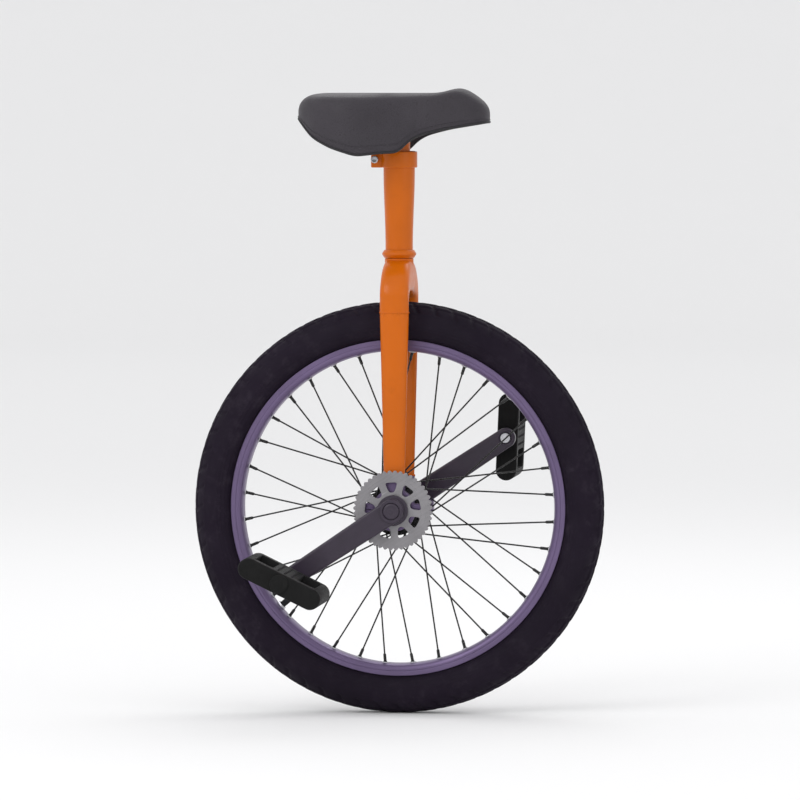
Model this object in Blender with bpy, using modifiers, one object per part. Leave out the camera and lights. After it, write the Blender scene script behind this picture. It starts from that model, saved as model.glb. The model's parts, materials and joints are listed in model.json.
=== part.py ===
"""A unicycle with a 20 inch wheel, modelled as the pieces that it comes apart into on a bench.

Units are metres. +Z is up, +X is forward and +Y is the rider's left. The origin is where the tyre
meets the ground, and the axle runs along Y. The seat post is fully lowered into the neck.
Heights of a turned piece that has a side are distances outboard from the wheel's middle plane.
"""

import math

import bmesh
import bpy
import numpy as np

GAP = 0.0003  # clearance between pieces that touch
CUT_MARGIN = 0.001  # how far a cutter runs past the face that it opens

# Wheel: a 406 mm bead seat with a 20 x 2.125 tyre
WHEEL_STEPS = 40
TYRE_RADIUS = 0.256
AXLE_HEIGHT = TYRE_RADIUS
TYRE_SECTION_CENTRE = 0.229
TYRE_OUTER_HALF = 0.027
TYRE_INNER_HALF = 0.0225
TYRE_INNER_DEPTH = 0.0215
TYRE_OVER_RIM = 0.0008
BEAD_WIDTH = 0.0043
BEAD_SLOPE = 0.0018
BEAD_CLEARANCE = 0.0006
BEAD_SEAT_RADIUS = 0.203
RIM_EDGE_RADIUS = 0.2095
RIM_SIDE_RADIUS = 0.200
RIM_CORNER_RADIUS = 0.1958
RIM_CORNER_HALF = 0.0140
RIM_FACE_HALF = 0.0090
RIM_INNER_RADIUS = 0.1945
RIM_WELL_RADIUS = 0.199
RIM_HALF_WIDTH = 0.0172
RIM_WALL = 0.0014
WELL_HALF_WIDTH = 0.0085
WELL_SLOPE = 0.0015
TAPE_THICKNESS = 0.0008
TAPE_MARGIN = 0.0006
TUBE_CENTRE_RADIUS = 0.2295
TUBE_SECTION_RADIUS = 0.018
TUBE_WALL = 0.0013
TUBE_STEPS = 24
TUBE_SIDES = 8
TUBE_PORT_RADIUS = 0.003
TUBE_PORT_SPAN = (0.205, 0.225)
VALVE_ANGLE = math.radians(220)
VALVE_RADIUS = 0.004
VALVE_HOLE_SPAN = (0.190, 0.2035)
# Valve as (radius, distance from the axle): base in the tube, stem and cap
VALVE_PROFILE = [
    (0.0, 0.2085), (0.0062, 0.2085), (0.0062, 0.2050), (VALVE_RADIUS, 0.2020),
    (VALVE_RADIUS, 0.1720), (0.0030, 0.1700), (0.0030, 0.1660), (0.0, 0.1660),
]

# Spokes: 36, each side laced three cross
SPOKES_PER_SIDE = 18
SPOKE_RADIUS = 0.001
NIPPLE_RADIUS = 0.002
NIPPLE_LENGTH = 0.012
SPOKE_CIRCLE_RADIUS = 0.029
SPOKE_FLANGE_OFFSET = 0.0297
SPOKE_RIM_OFFSET = 0.003
SPOKE_RIM_RADIUS = 0.1934
SPOKE_CROSSES = 3
NIPPLE_TAPER = 0.0008
FIRST_SPOKE_ANGLE = {-1: math.radians(5), 1: math.radians(15)}

# Hub, axle and bearings (17 x 40 x 12 mm bearings)
AXLE_RADIUS = 0.0085
AXLE_SHOULDER = 0.058
AXLE_END = 0.076
AXLE_SQUARE_CORNER = 0.0084
AXLE_SQUARE_CORNER_END = 0.0077
FLANGE_RADIUS = 0.033
FLANGE_INNER_FACE = 0.0315
FLANGE_OUTER_FACE = 0.0345
HUB_HALF_LENGTH = 0.036
HUB_BARREL_RADIUS = 0.0165
HUB_BARREL_HALF = 0.024
HUB_CONE_RADIUS = 0.020
HUB_END_RADIUS = 0.015
SPACER_RADIUS = 0.0115
AXLE_BOLT_HOLE = 0.0042
BEARING_CENTRE = 0.050
BEARING_HALF_WIDTH = 0.006
BEARING_OUTER_RADIUS = 0.020
BEARING_SHIELD_RADIUS = 0.0125
BEARING_RACE_RADIUS = 0.0165
SHIELD_THICKNESS = 0.0008
INNER_RING_RADIUS = 0.0118
AXLE_BORE = 0.0089

# Cranks: 150 mm between centres
CRANK_LENGTH = 0.150
CRANK_BOSS_RADIUS = 0.015
CRANK_EYE_RADIUS = 0.0125
CRANK_INNER_FACE = 0.069
CRANK_OUTER_FACE = 0.082
BOSS_INNER_FACE = 0.060
BOSS_OUTER_FACE = 0.084
BOSS_CORE_RADIUS = 0.0145
BOSS_CHAMFER = 0.001
SQUARE_HOLE_CORNER = 0.0091
BOSS_TURN = math.radians(3.0)
COUNTERBORE_RADIUS = 0.0105
COUNTERBORE_FLOOR = 0.0765
CRANK_BOLT_TOP = 0.082
CRANK_BOLT_HEAD_RADIUS = 0.006
CRANK_BOLT_FLANGE = (0.0094, 0.0012)  # radius, thickness
CRANK_BOLT_SHANK_RADIUS = 0.0038
# Cap over the bolt, as (radius, outboard distance)
CRANK_CAP_PROFILE = [(0.0, 0.0852), (0.0080, 0.0849), (0.0100, 0.0838), (0.0100, 0.0826), (0.0, 0.0826)]
CRANK_ANGLE = {-1: math.radians(213.5), 1: math.radians(33.5)}

# Toothed disc on the right crank's boss
DISC_TEETH = 44
DISC_TIP_RADIUS = 0.0495
DISC_ROOT_RADIUS = 0.0465
DISC_BORE_RADIUS = 0.0151
DISC_INNER_FACE = 0.0625
DISC_OUTER_FACE = 0.0655
DISC_WINDOWS = 9
WINDOW_INNER_RADIUS = 0.0225
WINDOW_OUTER_RADIUS = 0.0355
WINDOW_CORNER = 0.002
WINDOW_INNER_SPREAD = 9.0  # degrees each side of a window's middle
WINDOW_SIDE_SPREAD = 12.5
WINDOW_OUTER_SPREAD = 10.0
TOOTH_FLAT = (0.30, 0.70)  # share of the pitch where a tooth's tip starts and ends
LOCK_RING_RADIUS = 0.018
SPIDER_RADIUS = 0.019

# Pedals
PEDAL_LENGTH = 0.110
PEDAL_THICKNESS = 0.026
PEDAL_INNER_END = 0.094
PEDAL_OUTER_END = 0.186
PEDAL_BORE = 0.0095
PEDAL_WINDOW_WIDTH = 0.024
PEDAL_WINDOW_LENGTH = 0.064
PEDAL_WINDOW_CENTRE = 0.0285
PEDAL_TILT = {-1: math.radians(-26.0), 1: math.radians(87.5)}
SPINDLE_RADIUS = 0.006
SPINDLE_THREAD_RADIUS = 0.0066
SPINDLE_FLANGE = (0.0085, 0.0865)  # radius, outboard end
SPINDLE_START = 0.0695
SPINDLE_STUD = (0.0045, 0.1670, 0.1760)  # radius, start and end of the nut's thread
CRANK_EYE_BORE = 0.0072
BUSH_STARTS = {"inner": 0.095, "outer": 0.156}
BUSH_LENGTH = 0.010
BUSH_RADIUS = 0.0091
BUSH_CLEARANCE = 0.0004
PEDAL_CAP_RADIUS = 0.0115
PEDAL_CAP_PLUG_END = 0.1795
PEDAL_CAP_TOP = 0.1885
PEDAL_CAP_CHAMFER = 0.001
PEDAL_NUT_RADIUS = 0.0075
PEDAL_NUT_BORE = 0.0049
PEDAL_NUT_THICKNESS = 0.005
PEDAL_NUT_CENTRE = 0.171

# Frame
LEG_OFFSET = 0.0495
LEG_BOTTOM = 0.2925
LEG_TOP = 0.500
LEG_BOTTOM_HALF = (0.0130, 0.0080)
LEG_TOP_HALF = (0.0180, 0.0110)
TUBE_THICKNESS = 0.0016
HOUSING_BORE = 0.0206
HOUSING_RADIUS = 0.0265
HOUSING_HALF_WIDTH = 0.0072
HOUSING_LUG_REACH = 0.0375
HOUSING_LUG_HEIGHT = 0.008
HOUSING_STUB_TOP = 0.0362
HOUSING_BOLT_X = 0.0318
HOUSING_BOLT_RADIUS = 0.002
HOUSING_BOLT_HOLE = 0.0024
HOUSING_BOLT_HEAD = (0.004, 0.004)  # radius, height
HOUSING_BOLT_TOP = 0.010
HOUSING_SPLIT_ANGLE = 0.6
CROWN_HALF_DEPTH = 0.018
CROWN_TOP = 0.5655
CROWN_SHOULDER = 0.520
CROWN_ARCH_TOP = 0.5235
CROWN_ARCH_SPRING = 0.505
CROWN_INNER_HALF = 0.0380
CROWN_OUTER_HALF = 0.0605
CROWN_NECK_HALF = 0.020
CROWN_EDGE = 0.005
NECK_RADIUS = 0.017
NECK_TOP_RADIUS = 0.0195
NECK_BORE = 0.014
NECK_BOTTOM = 0.5658
NECK_TOP = 0.6985
NECK_FLARE_START = 0.585
NECK_FLARE_END = 0.676
NECK_SLOT = (0.020, 0.0022, 0.040)
NECK_SLOT_CENTRE = (-0.018, 0.0, 0.6885)
COLLAR_RADIUS = 0.0212
COLLAR_EDGE_RADIUS = 0.019
COLLAR_HEIGHT = 0.010
COLLAR_LIFT = 0.0002
COLLAR_CLEARANCE = 0.0005

# Seat clamp
CLAMP_BOTTOM = 0.678
CLAMP_TOP = 0.698
CLAMP_BORE = 0.0199
CLAMP_RADIUS = 0.0225
CLAMP_SLOT_HALF = 0.0015
CLAMP_EAR_HALF = 0.0085
CLAMP_EAR_REACH = 0.0345
CLAMP_BOLT_X = -0.0295
CLAMP_BOLT_RADIUS = 0.0025
CLAMP_BOLT_HOLE = 0.003
CLAMP_BOLT_HEAD = (0.0045, 0.004)  # radius, height
CLAMP_BOLT_TIP = -0.0145
CLAMP_NUT_RADIUS = 0.0048
CLAMP_NUT_BORE = 0.0029
CLAMP_NUT_THICKNESS = 0.004

# Seat post and its head plate
POST_RADIUS = 0.0136
POST_BORE = 0.0113
POST_BOTTOM = 0.577
POST_TOP = 0.7162
PLATE_THICKNESS = 0.004
PLATE_CENTRE_X = -0.017
PLATE_HALF = (0.034, 0.029)
SADDLE_BOLTS = {"rear": -0.040, "front": 0.006}
SADDLE_BOLT_Y = 0.0215
SADDLE_BOLT_RADIUS = 0.0028
SADDLE_BOLT_HOLE = 0.0034
SADDLE_BOLT_HEAD = (0.005, 0.0042)  # radius, height
SADDLE_HOLE_SPAN = (0.715, 0.730)
PLATE_CORNER = 0.008

# Saddle
SADDLE_STATIONS = 28
SADDLE_CENTRE_X = -0.006
SADDLE_HALF_LENGTH = 0.119
SADDLE_ROUNDNESS = 2.5
SADDLE_SPINE = 0.62
SADDLE_TOP = 0.7705
SADDLE_NOSE_DROP = (0.016, 8)  # fall at the very end, and how sharply it starts
SADDLE_TAIL_DROP = (0.014, 14)
SADDLE_NOSE_RISE = 0.0065
SADDLE_NOSE_X = 0.077
SADDLE_NOSE_SPREAD = 0.018
SADDLE_WAIST_HALF = 0.049
SADDLE_REAR_EXTRA = 0.027
SADDLE_REAR_START = 0.035
SADDLE_REAR_RUN = 0.105
COVER_THICKNESS = 0.002
FOAM_INSET = 0.004
FOAM_CLEARANCE = 0.0022
BASE_BOTTOM = 0.7208
BASE_THICKNESS = 0.003
BASE_SPREADS = (0.97, 0.62, 0.30)
FOAM_SIDE = (1.0, 0.50)
FOAM_LEAST_HEIGHT = 0.002
# Rings of the cover: how far out from the spine, and how far down from the ridge to the skirt's edge
COVER_RINGS = [
    (0.985, 1.0), (1.0, 0.78), (1.0, 0.45), (0.965, 0.20), (0.86, 0.07), (0.62, 0.015), (0.30, 0.0),
]
# Lower edge of the saddle's skirt, as (x, z) from the tail to the nose
SKIRT_EDGE = [
    (-0.125, 0.742), (-0.103, 0.7165), (-0.079, 0.704), (-0.046, 0.6937), (-0.016, 0.6972),
    (0.006, 0.6977), (0.016, 0.711), (0.031, 0.7190), (0.059, 0.7262), (0.113, 0.735),
]
# Underside of the saddle's base, as (x, z) from the tail to the nose
BASE_LINE = [(-0.125, 0.746), (-0.095, 0.730), (-0.062, BASE_BOTTOM), (0.028, BASE_BOTTOM),
             (0.060, 0.733), (0.113, 0.741)]

SIDES = {"right": -1, "left": 1}

# Finishes: sRGB colour, roughness, metallic
FINISHES = {
    "tyre_rubber": ((0.137, 0.106, 0.165), 0.85, 0.0),
    "soft_rubber": ((0.07, 0.07, 0.08), 0.8, 0.0),
    "rim_metal": ((0.43, 0.37, 0.48), 0.35, 1.0),
    "orange_paint": ((0.80, 0.41, 0.0), 0.3, 0.0),
    "grey_steel": ((0.60, 0.60, 0.61), 0.35, 1.0),
    "dark_paint": ((0.26, 0.23, 0.28), 0.4, 0.0),
    "black_steel": ((0.06, 0.06, 0.06), 0.4, 1.0),
    "bright_steel": ((0.75, 0.75, 0.76), 0.25, 1.0),
    "black_plastic": ((0.13, 0.13, 0.13), 0.55, 0.0),
    "saddle_vinyl": ((0.275, 0.255, 0.28), 0.6, 0.0),
    "foam": ((0.75, 0.72, 0.6), 0.95, 0.0),
    "tape": ((0.7, 0.68, 0.6), 0.8, 0.0),
}


# ---------------------------------------------------------------- scene and helpers

def clear_scene():
    """Remove every object that the file starts with."""
    for item in list(bpy.data.objects):
        bpy.data.objects.remove(item, do_unlink=True)


def new_collection(name):
    """A collection linked to the scene."""
    collection = bpy.data.collections.new(name)
    bpy.context.scene.collection.children.link(collection)
    return collection


clear_scene()
PARTS = new_collection("unicycle")
CUTTERS = new_collection("cutters")


def linear(value):
    """An sRGB channel as the linear value that a shader takes."""
    return value / 12.92 if value <= 0.04045 else ((value + 0.055) / 1.055) ** 2.4


def new_material(name, finish):
    """A Principled material of one finish."""
    colour, roughness, metallic = FINISHES[finish]
    material = bpy.data.materials.new(name)
    material.use_nodes = True
    shader = material.node_tree.nodes["Principled BSDF"]
    shader.inputs["Base Color"].default_value = (*[linear(channel) for channel in colour], 1.0)
    shader.inputs["Roughness"].default_value = roughness
    shader.inputs["Metallic"].default_value = metallic
    return material


def keep(obj, finish, parent, location=(0.0, 0.0, 0.0), rotation=(0.0, 0.0, 0.0)):
    """Put a finished piece under its joint's empty, with a material of its own."""
    PARTS.objects.link(obj)
    obj.parent = parent
    obj.location = location
    obj.rotation_euler = rotation
    obj.data.materials.append(new_material(f"{obj.name}_finish", finish))
    return obj


def as_cutter(obj, parent=None, location=(0.0, 0.0, 0.0), rotation=(0.0, 0.0, 0.0)):
    """Put a shape that only cuts or joins another one among the cutters."""
    CUTTERS.objects.link(obj)
    obj.parent = parent
    obj.location = location
    obj.rotation_euler = rotation
    obj.hide_render = True
    obj.display_type = "WIRE"
    return obj


def empty(name, parent=None, location=(0.0, 0.0, 0.0)):
    """A plain empty on a joint's axis."""
    obj = bpy.data.objects.new(name, None)
    PARTS.objects.link(obj)
    obj.parent = parent
    obj.location = location
    return obj


def upright(side, angle=0.0):
    """Rotation that turns local Z outboard on a side and local X by angle in the wheel's plane."""
    return (-side * math.pi / 2, -angle, 0.0)


def boolean(obj, other, operation="DIFFERENCE"):
    """Cut or join another object with the exact solver."""
    modifier = obj.modifiers.new(f"{operation.lower()}_{other.name}", "BOOLEAN")
    modifier.operation = operation
    modifier.solver = "EXACT"
    modifier.object = other


def bevel(obj, width, segments=1, angle=50.0):
    """Round the edges sharper than angle degrees."""
    modifier = obj.modifiers.new("bevel", "BEVEL")
    modifier.width = width
    modifier.segments = segments
    modifier.limit_method = "ANGLE"
    modifier.angle_limit = math.radians(angle)


def solidify(obj, thickness, offset):
    """Give an open surface its thickness."""
    modifier = obj.modifiers.new("wall", "SOLIDIFY")
    modifier.thickness = thickness
    modifier.offset = offset


def turned(name, profile, steps, closed=True):
    """Turn (radius, height) points round local Z; they run down the outer side."""
    count = len(profile)
    edges = [(i, i + 1) for i in range(count - 1)]
    if closed:
        edges.append((count - 1, 0))
    mesh = bpy.data.meshes.new(name)
    mesh.from_pydata([(radius, 0.0, height) for radius, height in profile], edges, [])
    obj = bpy.data.objects.new(name, mesh)
    screw = obj.modifiers.new("turn", "SCREW")
    screw.axis = "Z"
    screw.steps = steps
    screw.render_steps = steps
    screw.use_merge_vertices = True
    screw.merge_threshold = 0.00002
    screw.use_smooth_shade = False
    return obj


def ring(name, inner, outer, low, high, steps):
    """A plain turned ring."""
    return turned(name, [(outer, high), (outer, low), (inner, low), (inner, high)], steps)


def rod(name, radius, low, high, steps):
    """A plain turned rod."""
    return turned(name, [(0.0, high), (radius, high), (radius, low), (0.0, low)], steps, closed=False)


def mirrored_section(half):
    """Complete a ring's section from its half below height 0, outermost point first."""
    return half + [(radius, -height) for radius, height in reversed(half[1:-1])]


def arc(centre, radius, start, end, steps):
    """Points on an arc, with angles in degrees and both ends included."""
    points = []
    for i in range(steps + 1):
        angle = math.radians(start + (end - start) * i / steps)
        points.append((centre[0] + radius * math.cos(angle), centre[1] + radius * math.sin(angle)))
    return points


def circle(radius, steps, centre=(0.0, 0.0)):
    """Points round a circle."""
    return arc(centre, radius, 0.0, 360.0, steps)[:-1]


def as_mesh(curve_object):
    """The welded mesh of a curve object, which is removed."""
    name = curve_object.name
    bpy.context.scene.collection.objects.link(curve_object)
    graph = bpy.context.evaluated_depsgraph_get()
    mesh = bpy.data.meshes.new_from_object(curve_object.evaluated_get(graph))
    work = bmesh.new()
    work.from_mesh(mesh)
    bmesh.ops.remove_doubles(work, verts=work.verts, dist=0.000005)
    bmesh.ops.recalc_face_normals(work, faces=work.faces)
    work.to_mesh(mesh)
    work.free()
    bpy.data.objects.remove(curve_object, do_unlink=True)
    obj = bpy.data.objects.new(name, mesh)
    obj.name = name
    return obj


def plate(name, loops, thickness):
    """Extrude closed loops of (x, y) points both ways from z = 0; inner loops are holes."""
    curve = bpy.data.curves.new(name, "CURVE")
    curve.dimensions = "2D"
    curve.fill_mode = "BOTH"
    curve.extrude = thickness / 2
    for loop in loops:
        spline = curve.splines.new("POLY")
        spline.points.add(len(loop) - 1)
        for point, (x, y) in zip(spline.points, loop):
            point.co = (x, y, 0.0, 1.0)
        spline.use_cyclic_u = True
    return as_mesh(bpy.data.objects.new(name, curve))


def box(name, size, centre):
    """A box mesh of a given size round a centre."""
    mesh = bpy.data.meshes.new(name)
    work = bmesh.new()
    bmesh.ops.create_cube(work, size=1.0)
    bmesh.ops.scale(work, vec=size, verts=work.verts)
    bmesh.ops.translate(work, vec=centre, verts=work.verts)
    work.to_mesh(mesh)
    work.free()
    return bpy.data.objects.new(name, mesh)


def cone(name, radius_low, radius_high, low, high, segments, caps=True):
    """A cone frustum along local Z."""
    mesh = bpy.data.meshes.new(name)
    work = bmesh.new()
    bmesh.ops.create_cone(work, cap_ends=caps, segments=segments, radius1=radius_low,
                          radius2=radius_high, depth=high - low)
    bmesh.ops.translate(work, vec=(0.0, 0.0, (low + high) / 2), verts=work.verts)
    work.to_mesh(mesh)
    work.free()
    return bpy.data.objects.new(name, mesh)


def wheel_point(radius, angle, outboard):
    """A point of the wheel in the wheel's own frame."""
    return (radius * math.cos(angle), outboard, radius * math.sin(angle))


# ---------------------------------------------------------------- tyre, tube and rim

def build_tyre(wheel):
    """Tyre casing with its beads inside the rim's edges."""
    half = []
    for degrees in (0, 25, 50, 75, 100, 125):
        angle = math.radians(degrees)
        half.append((TYRE_SECTION_CENTRE + TYRE_OUTER_HALF * math.cos(angle),
                     -TYRE_OUTER_HALF * math.sin(angle)))
    edge = RIM_EDGE_RADIUS + TYRE_OVER_RIM
    seat = BEAD_SEAT_RADIUS + BEAD_CLEARANCE
    bead_outer = RIM_HALF_WIDTH - RIM_WALL - GAP
    bead_inner = bead_outer - BEAD_WIDTH
    half += [(edge, -RIM_HALF_WIDTH), (edge, -bead_outer), (seat, -bead_outer), (seat, -bead_inner)]
    half.append((RIM_EDGE_RADIUS + BEAD_CLEARANCE, -bead_inner - BEAD_SLOPE))
    for degrees in (110, 75, 38, 0):
        angle = math.radians(degrees)
        half.append((TYRE_SECTION_CENTRE + TYRE_INNER_DEPTH * math.cos(angle),
                     -TYRE_INNER_HALF * math.sin(angle)))
    keep(turned("tyre", mirrored_section(half), WHEEL_STEPS), "tyre_rubber", wheel, rotation=upright(1))


def build_rim(wheel):
    """Rim with flanges, bead seats and well, drilled for the valve."""
    flange = RIM_HALF_WIDTH - RIM_WALL
    half = [
        (RIM_WELL_RADIUS, 0.0), (RIM_WELL_RADIUS, -WELL_HALF_WIDTH),
        (BEAD_SEAT_RADIUS, -WELL_HALF_WIDTH - WELL_SLOPE), (BEAD_SEAT_RADIUS, -flange),
        (RIM_EDGE_RADIUS, -flange), (RIM_EDGE_RADIUS, -RIM_HALF_WIDTH),
        (RIM_SIDE_RADIUS, -RIM_HALF_WIDTH), (RIM_CORNER_RADIUS, -RIM_CORNER_HALF),
        (RIM_INNER_RADIUS, -RIM_FACE_HALF), (RIM_INNER_RADIUS, 0.0),
    ]
    rim = keep(turned("rim", mirrored_section(half), WHEEL_STEPS), "rim_metal", wheel, rotation=upright(1))
    tape_half = WELL_HALF_WIDTH - TAPE_MARGIN
    tape_bottom = RIM_WELL_RADIUS + GAP
    tape = ring("rim_tape", tape_bottom, tape_bottom + TAPE_THICKNESS, -tape_half, tape_half, WHEEL_STEPS)
    keep(tape, "tape", wheel, rotation=upright(1))
    hole_radius = VALVE_RADIUS + 2 * GAP
    hole = cone("valve_hole", hole_radius, hole_radius, *VALVE_HOLE_SPAN, 10)
    as_cutter(hole, wheel, rotation=(0.0, math.pi / 2 - VALVE_ANGLE, 0.0))
    boolean(rim, hole)
    boolean(tape, hole)


def build_tube(wheel):
    """Hollow inner tube, open where its valve sits, and the valve."""
    centre = (TUBE_CENTRE_RADIUS, 0.0)
    section = circle(TUBE_SECTION_RADIUS, TUBE_SIDES, centre)[::-1]
    hollow = circle(TUBE_SECTION_RADIUS - TUBE_WALL, TUBE_SIDES, centre)[::-1]
    tube = keep(turned("inner_tube", section, TUBE_STEPS), "soft_rubber", wheel, rotation=upright(1))
    boolean(tube, as_cutter(turned("tube_hollow", hollow, TUBE_STEPS), wheel, rotation=upright(1)))
    along_valve = (0.0, math.pi / 2 - VALVE_ANGLE, 0.0)
    port = cone("tube_port", TUBE_PORT_RADIUS, TUBE_PORT_RADIUS, *TUBE_PORT_SPAN, 8)
    boolean(tube, as_cutter(port, wheel, rotation=along_valve))
    valve = turned("valve", VALVE_PROFILE, 10, closed=False)
    keep(valve, "soft_rubber", wheel, rotation=along_valve)


# ---------------------------------------------------------------- spokes and hub

def spoke_family(name, side, direction):
    """Nine spokes that lean the same way, each with its nipple at the rim."""
    curve = bpy.data.curves.new(name, "CURVE")
    curve.dimensions = "3D"
    curve.bevel_depth = SPOKE_RADIUS
    curve.bevel_resolution = 0
    curve.use_fill_caps = True
    pitch = 2 * math.pi / SPOKES_PER_SIDE
    for i in range(0, SPOKES_PER_SIDE, 2):
        hub_angle = FIRST_SPOKE_ANGLE[side] + pitch * (i if direction > 0 else i + 1)
        rim_angle = hub_angle + direction * SPOKE_CROSSES * pitch
        hub = np.array(wheel_point(SPOKE_CIRCLE_RADIUS, hub_angle, side * SPOKE_FLANGE_OFFSET))
        rim = np.array(wheel_point(SPOKE_RIM_RADIUS, rim_angle, side * SPOKE_RIM_OFFSET))
        length = np.linalg.norm(rim - hub)
        nipple = 1.0 - NIPPLE_LENGTH / length
        step = NIPPLE_TAPER / length
        spline = curve.splines.new("POLY")
        spline.points.add(3)
        stations = ((0.0, 1.0), (nipple - step, 1.0), (nipple, NIPPLE_RADIUS / SPOKE_RADIUS),
                    (1.0, NIPPLE_RADIUS / SPOKE_RADIUS))
        for point, (along, thickness) in zip(spline.points, stations):
            point.co = (*(hub + (rim - hub) * along), 1.0)
            point.radius = thickness
    return as_mesh(bpy.data.objects.new(name, curve))


def build_spokes(wheel):
    """One piece a side: its 18 spokes are tied where they cross."""
    for label, side in SIDES.items():
        spokes = keep(spoke_family(f"spokes_{label}", side, 1), "black_steel", wheel)
        trailing = as_cutter(spoke_family(f"trailing_spokes_{label}", side, -1), wheel)
        boolean(spokes, trailing, "UNION")


def build_hub(wheel):
    """Flanged hub shell on the axle, with a spacer out to each bearing."""
    half = [(HUB_BARREL_RADIUS, 0.0), (HUB_BARREL_RADIUS, -HUB_BARREL_HALF),
            (HUB_CONE_RADIUS, -FLANGE_INNER_FACE + GAP), (FLANGE_RADIUS, -FLANGE_INNER_FACE),
            (FLANGE_RADIUS, -FLANGE_OUTER_FACE), (HUB_END_RADIUS, -HUB_HALF_LENGTH),
            (AXLE_BORE, -HUB_HALF_LENGTH), (AXLE_BORE, 0.0)]
    keep(turned("hub_shell", mirrored_section(half), 20), "black_steel", wheel, rotation=upright(1))
    axle = rod("hub_axle", AXLE_RADIUS, -AXLE_SHOULDER, AXLE_SHOULDER, 24)
    keep(axle, "bright_steel", wheel, rotation=upright(1))
    for label, side in SIDES.items():
        turn = upright(side, CRANK_ANGLE[side] + BOSS_TURN)
        square = cone(f"axle_square_{label}", AXLE_SQUARE_CORNER, AXLE_SQUARE_CORNER_END,
                      AXLE_SHOULDER - CUT_MARGIN, AXLE_END, 4)
        boolean(axle, as_cutter(square, wheel, rotation=turn), "UNION")
        bore = cone(f"axle_bore_{label}", AXLE_BOLT_HOLE, AXLE_BOLT_HOLE, AXLE_SHOULDER,
                    AXLE_END + CUT_MARGIN, 10)
        boolean(axle, as_cutter(bore, wheel, rotation=turn))
        spacer = ring(f"axle_spacer_{label}", AXLE_BORE, SPACER_RADIUS, HUB_HALF_LENGTH + GAP,
                      BEARING_CENTRE - BEARING_HALF_WIDTH - GAP, 16)
        keep(spacer, "bright_steel", wheel, rotation=upright(side))


def build_bearings(frame, wheel):
    """Inner rings turn with the axle; outer rings, with their shields, sit in the housings."""
    low = BEARING_CENTRE - BEARING_HALF_WIDTH
    high = BEARING_CENTRE + BEARING_HALF_WIDTH
    shield = SHIELD_THICKNESS - BEARING_HALF_WIDTH
    half = [(BEARING_OUTER_RADIUS, 0.0), (BEARING_OUTER_RADIUS, -BEARING_HALF_WIDTH),
            (BEARING_SHIELD_RADIUS, -BEARING_HALF_WIDTH), (BEARING_SHIELD_RADIUS, shield),
            (BEARING_RACE_RADIUS, shield), (BEARING_RACE_RADIUS, 0.0)]
    outer = [(radius, height + BEARING_CENTRE) for radius, height in mirrored_section(half)]
    for label, side in SIDES.items():
        inner_ring = ring(f"bearing_inner_ring_{label}", AXLE_BORE, INNER_RING_RADIUS, low, high, 16)
        keep(inner_ring, "bright_steel", wheel, rotation=upright(side))
        keep(turned(f"bearing_outer_ring_{label}", outer, 16), "bright_steel", frame,
             location=(0.0, 0.0, AXLE_HEIGHT), rotation=upright(side))


# ---------------------------------------------------------------- cranks, disc and pedals

def crank_outline():
    """Two round ends joined by their tangents, boss at the origin and eye along +X."""
    lean = math.degrees(math.asin((CRANK_BOSS_RADIUS - CRANK_EYE_RADIUS) / CRANK_LENGTH))
    boss = arc((0.0, 0.0), CRANK_BOSS_RADIUS, 90 - lean, 270 + lean, 10)
    eye = arc((CRANK_LENGTH, 0.0), CRANK_EYE_RADIUS, lean - 90, 90 - lean, 10)
    return boss + eye


def build_cranks(wheel):
    """Cranks with a square hole and a counterbore in the boss; the right one carries the disc."""
    middle = (CRANK_INNER_FACE + CRANK_OUTER_FACE) / 2
    for label, side in SIDES.items():
        turn = upright(side, CRANK_ANGLE[side])
        boss_hole = circle((COUNTERBORE_RADIUS + BOSS_CORE_RADIUS) / 2, 16)
        eye_hole = circle(CRANK_EYE_BORE, 16, (CRANK_LENGTH, 0.0))
        crank = plate(f"crank_{label}", [crank_outline(), boss_hole, eye_hole],
                      CRANK_OUTER_FACE - CRANK_INNER_FACE)
        keep(crank, "dark_paint", wheel, location=(0.0, side * middle, 0.0), rotation=turn)
        core = [(0.0, COUNTERBORE_FLOOR), (COUNTERBORE_RADIUS, COUNTERBORE_FLOOR),
                (COUNTERBORE_RADIUS, BOSS_OUTER_FACE), (BOSS_CORE_RADIUS - BOSS_CHAMFER, BOSS_OUTER_FACE),
                (BOSS_CORE_RADIUS, BOSS_OUTER_FACE - BOSS_CHAMFER)]
        if side < 0:
            seat = DISC_OUTER_FACE + GAP
            spider = CRANK_INNER_FACE + BOSS_CHAMFER
            core += [(BOSS_CORE_RADIUS, spider), (SPIDER_RADIUS, spider), (SPIDER_RADIUS, seat),
                     (BOSS_CORE_RADIUS, seat)]
        core += [(BOSS_CORE_RADIUS, BOSS_INNER_FACE), (0.0, BOSS_INNER_FACE)]
        boss = turned(f"boss_{label}", core, 22, closed=False)
        boss_turn = upright(side, CRANK_ANGLE[side] + BOSS_TURN)
        boolean(crank, as_cutter(boss, wheel, rotation=boss_turn), "UNION")
        square = cone(f"square_hole_{label}", SQUARE_HOLE_CORNER, SQUARE_HOLE_CORNER,
                      BOSS_INNER_FACE - CUT_MARGIN, COUNTERBORE_FLOOR + CUT_MARGIN, 4)
        boolean(crank, as_cutter(square, wheel, rotation=boss_turn))
        build_crank_bolt(label, side, wheel)


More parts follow.
